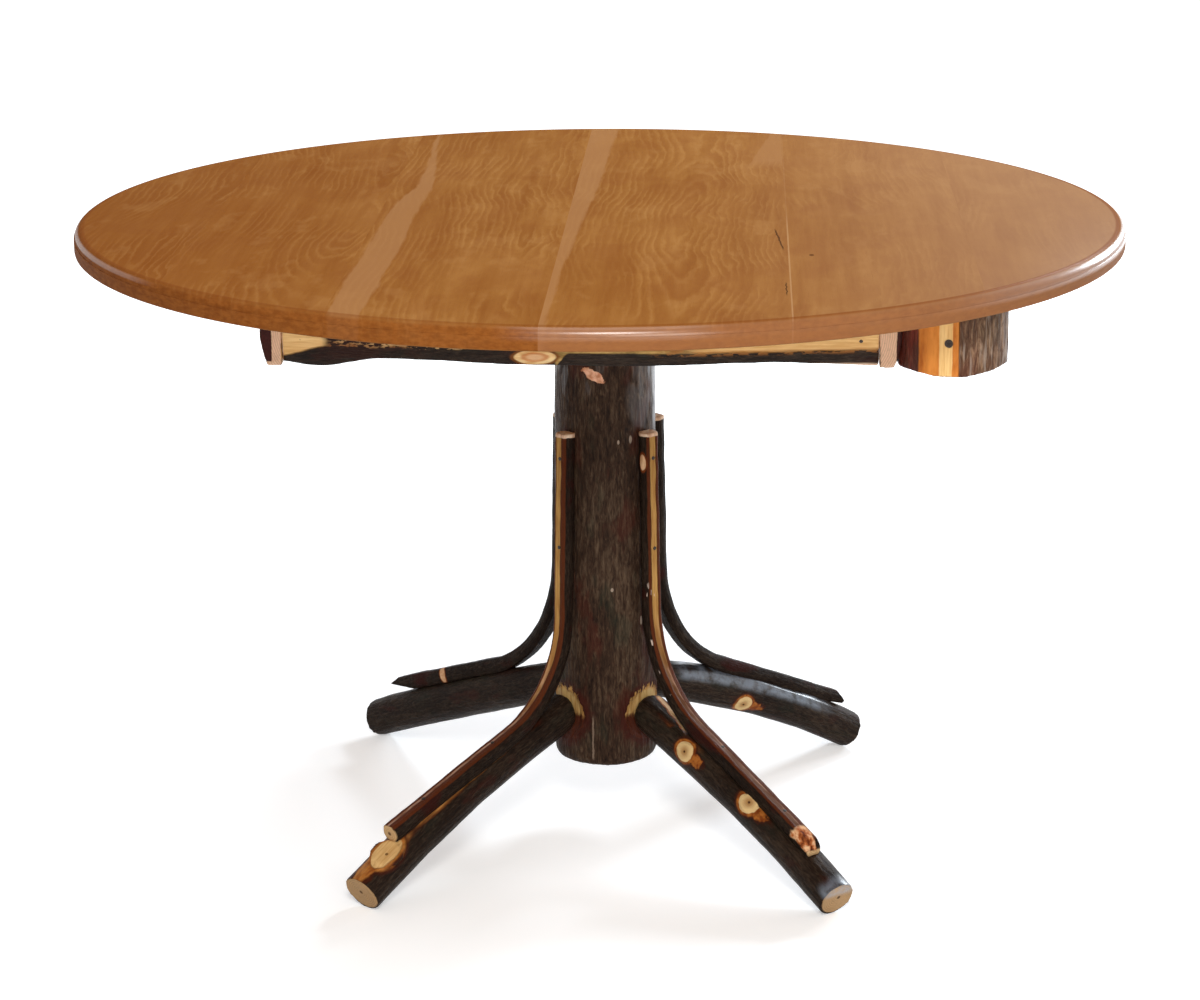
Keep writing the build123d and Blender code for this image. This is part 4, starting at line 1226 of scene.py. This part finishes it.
def block_finish():
    """Bark that is shaved to orange and then to a pale stripe."""
    layers = Layers("block_bark", specular=0.10, fine=0.7, red=0.10, light=1.95, green=0.10)
    finish, grain = layers.finish, layers.grain
    _, left, out = layers.axes
    torn = layers.torn(0.3, 60.0, 4.0, 0.6)
    across = left + torn * 0.004
    ridges = finish.drawn(grain, 0.10, 160.0, 2.0, 0.5)
    layers.cover(ridges.over(0.56, 0.66) * 0.45, (176, 160, 146), 0.42)
    layers.cover(ridges.over(0.42, 0.34) * 0.6, (64, 50, 44), 0.42)
    layers.cover(across.over(-0.026, -0.030) * 0.85,
                 finish.mix(torn.over(-0.15, 0.15), (44, 26, 20), (104, 36, 26)), 0.42)
    orange = across.over(-0.0340, -0.0320) * across.over(0.0125, 0.0105)
    layers.cover(orange, finish.mix(torn.over(-0.2, 0.2), (176, 96, 34), (222, 142, 64)), 0.34, 0.0)
    pale = across.over(-0.0105, -0.0092) * across.over(0.0046, 0.0034)
    layers.bare(pale, (250, 212, 146), (222, 172, 104))
    layers.bare(out.over(0.0012, 0.0006), (196, 156, 104), (160, 114, 66))
    layers.sawn_end(0.0065, -0.0016, 1.0, (196, 154, 108), (0.004, 0.01))
    return layers.material()


dress(block, block_finish(), "log_block")

# %% [markdown]
# ## Nails, screws and pins
# Each fastener is modelled once: a small cylinder whose end faces are inset, extruded and bevelled into
# a head and a shank. The solids say where each one goes, so the copies are laid on them, and every kind
# is joined into one piece.

# %% Where the solids put their fasteners
def fastener_places(node):
    """For each fastener in a node: the top of its head, the way that it faces, and its length."""
    take(copy_solid("scratch", node))
    bpy.ops.mesh.separate(type="LOOSE")
    found = []
    for single in bpy.context.selected_objects:
        points = corners_of(single)
        bpy.data.objects.remove(single)
        centre = points.mean(0)
        axis = np.linalg.svd(points - centre)[2][0]
        run = (points - centre) @ axis
        wide = np.linalg.norm((points - centre) - run[:, None] * axis, axis=1)
        middle = (run.max() + run.min()) / 2
        upper, lower = wide[run > middle].max(), wide[run <= middle].max()
        if upper < lower * 0.98 or (abs(upper - lower) < 0.02 * lower and axis[2] > 0):
            axis, run = -axis, -run
        on_axis = points[np.abs(run - run.max()) < 0.0004].mean(0)
        found.append((on_axis, axis, run.max() - run.min()))
    found.sort(key=lambda place: tuple(round(float(v), 4) for v in place[0]))
    return found


# %% Model one of each
eased_edge = 0.0007


def make_nail(length):
    """A wire nail: a flat head, a little domed, and a pointed shank. Its head's top is at the origin."""
    head, shank, thick, point, dome = 0.0022, 0.0013, 0.0011, 0.003, 0.0003
    nail = new_cylinder(14, head, thick, 0.0)
    pick(nail, faces=lambda face: face.normal.z < -0.9)
    bpy.ops.mesh.inset(thickness=head - shank, depth=0)
    pull(-(length - thick - point))
    pull(-point)
    bpy.ops.transform.resize(value=(0.1, 0.1, 1.0))
    done(nail)
    pick(nail, faces=lambda face: face.normal.z > 0.9)
    for ring in (0.28, 0.35):
        bpy.ops.mesh.inset(thickness=head * ring, depth=0)
    done(nail)
    rim = head * 0.99
    for vertex in nail.data.vertices:
        if vertex.co.z > -0.0001:
            vertex.co.z -= dome * (math.hypot(vertex.co.x, vertex.co.y) / rim) ** 2
    return nail


def make_screw(length):
    """A countersunk screw with a cross recess."""
    head, shank, rim, point, recess = 0.0046, 0.0022, 0.0004, 0.004, 0.0011
    cone = head - shank
    screw = new_cylinder(20, head, rim, 0.0)
    pick(screw, faces=lambda face: face.normal.z < -0.9)
    pull(-cone)
    bpy.ops.transform.resize(value=(shank / head, shank / head, 1.0))
    pull(-(length - cone - rim - point))
    pull(-point)
    bpy.ops.transform.resize(value=(0.12, 0.12, 1.0))
    done(screw)
    cutters = []
    for turn in (0.0, math.pi / 2):
        bpy.ops.object.select_all(action="DESELECT")
        bpy.ops.mesh.primitive_cube_add(size=1.0, location=(0, 0, 0), rotation=(0, 0, turn),
                                        scale=(head * 1.15, recess, 0.0030))
        cutters.append(settle(bpy.context.object))
    for cutter in cutters:
        cut = screw.modifiers.new("recess", "BOOLEAN")
        cut.operation, cut.object, cut.solver = "DIFFERENCE", cutter, "EXACT"
        apply_modifiers(screw)
        bpy.data.objects.remove(cutter)
    return screw


def make_lag(length):
    """A hexagonal head on a plain shank."""
    head, tall, shank = 0.0075, 0.0055, 0.0040
    lag = new_cylinder(6, head, tall, 0.0)
    pick(lag, edges=lambda a, b: min(a.z, b.z) > -0.0001)
    bpy.ops.mesh.bevel(offset=eased_edge, segments=2, affect="EDGES")
    done(lag)
    pick(lag, faces=lambda face: face.normal.z < -0.9)
    bpy.ops.mesh.inset(thickness=head * 0.85 - shank, depth=0)
    pull(-(length - tall))
    return done(lag)


def make_pin(length):
    """A short dowel with eased ends."""
    pin = new_cylinder(24, 0.005, length, 0.0)
    pick(pin, edges=lambda a, b: abs(a.z - b.z) < 0.0001)
    bpy.ops.mesh.bevel(offset=eased_edge, segments=2, affect="EDGES")
    return done(pin)


# %% The finishes of steel and plain wood
def steel_finish():
    finish = Finish("dull_steel", specular=0.5)
    place = finish.place()
    worn = finish.noise(place, 900.0, 3.0, 0.6)
    colour = finish.mix(worn, (34, 27, 24), (74, 64, 56))
    finish.shader.inputs["Metallic"].default_value = 0.6
    return finish.surface(colour, 0.38 + worn * 0.25, worn * 0.0001)


def planed_finish(name, stretch, offset):
    """Plain planed wood, its grain along the axis that is stretched least."""
    finish = Finish(name, specular=0.12)
    place = finish.place().vector("ADD", offset)
    wood = place.vector("MULTIPLY", stretch)
    fibre = finish.noise(wood, 260.0, 5.0, 0.6)
    rings = finish.noise(wood, 42.0, 2.0, 0.5, 0.8)
    wave = (rings * 16.0).math("SINE") * 0.5 + 0.5
    cloud = finish.noise(place, 12.0, 3.0)
    colour = finish.glaze(finish.mix(fibre.over(0.3, 0.7), (176, 130, 80), (208, 166, 114)),
                          (wave * 0.35, (160, 110, 62)),
                          (cloud.over(0.5, 0.75) * 0.25, (150, 100, 56)))
    return finish.surface(colour, 0.52 + fibre * 0.12, fibre * 0.00025)


dull_steel = steel_finish()
planed_x = planed_finish("planed_wood_x", (0.06, 1.0, 1.0), (0.3, 0.1, 0.2))
planed_y = planed_finish("planed_wood_y", (1.0, 0.06, 1.0), (1.3, 2.1, 0.2))
planed_z = planed_finish("planed_wood_z", (1.0, 1.0, 0.06), (2.3, 0.6, 3.2))


# %% Lay the copies on the solids
def lay_fasteners(name, node, make, material):
    """Models one fastener, lays a copy on each place in a node and joins them."""
    places = fastener_places(node)
    model = make(float(places[0][2]))
    copies = []
    for at, axis, _ in places:
        copy = model.copy()
        copy.data = model.data.copy()
        bpy.context.scene.collection.objects.link(copy)
        turn = Vector((0, 0, 1)).rotation_difference(Vector(axis)).to_matrix().to_4x4()
        copy.data.transform(Matrix.Translation(Vector(at)) @ turn)
        copies.append(copy)
    bpy.data.objects.remove(model)
    take(copies[0])
    for copy in copies:
        copy.select_set(True)
    if len(copies) > 1:
        bpy.ops.object.join()
    group = copies[0]
    group.name = name
    take(group)
    bpy.ops.object.shade_smooth_by_angle(angle=math.radians(35))
    print(name, "count", len(places))
    dress(group, material, node)


steel_groups = {
    make_nail: (("nails_brace", "brace_nails"), ("nails_apron", "apron_nails")),
    make_screw: (("screws_batten", "batten_screws"), ("screws_plate", "plate_screws"),
                 ("screws_corner", "corner_block_screws"), ("screws_cleat", "cleat_screws"),
                 ("screw_block", "log_block_screw")),
    make_lag: (("lags_trunk", "trunk_lag_screws"),),
}
for make, groups in steel_groups.items():
    for name, node in groups:
        lay_fasteners(name, node, make, dull_steel)
lay_fasteners("pins_tenon", "tenon_pins", make_pin, planed_z)

# %% [markdown]
# ## Plain wood under the top
# The battens, the plate and the corner blocks are square, planed pieces whose solids are already right.
# They stay, and only get a finish whose grain runs along each.

# %% Finish the plain pieces
plain_pieces = {
    planed_x: ("batten_front", "batten_back", "log_block_cleat"),
    planed_y: ("top_plate",),
    planed_z: ("corner_block_front_left", "corner_block_front_right", "corner_block_back_right",
               "corner_block_back_left"),
}
for material, names in plain_pieces.items():
    for name in names:
        solid = solids[name]
        for slot in solid.material_slots:
            slot.material = material
        print(name, "has", material.name)
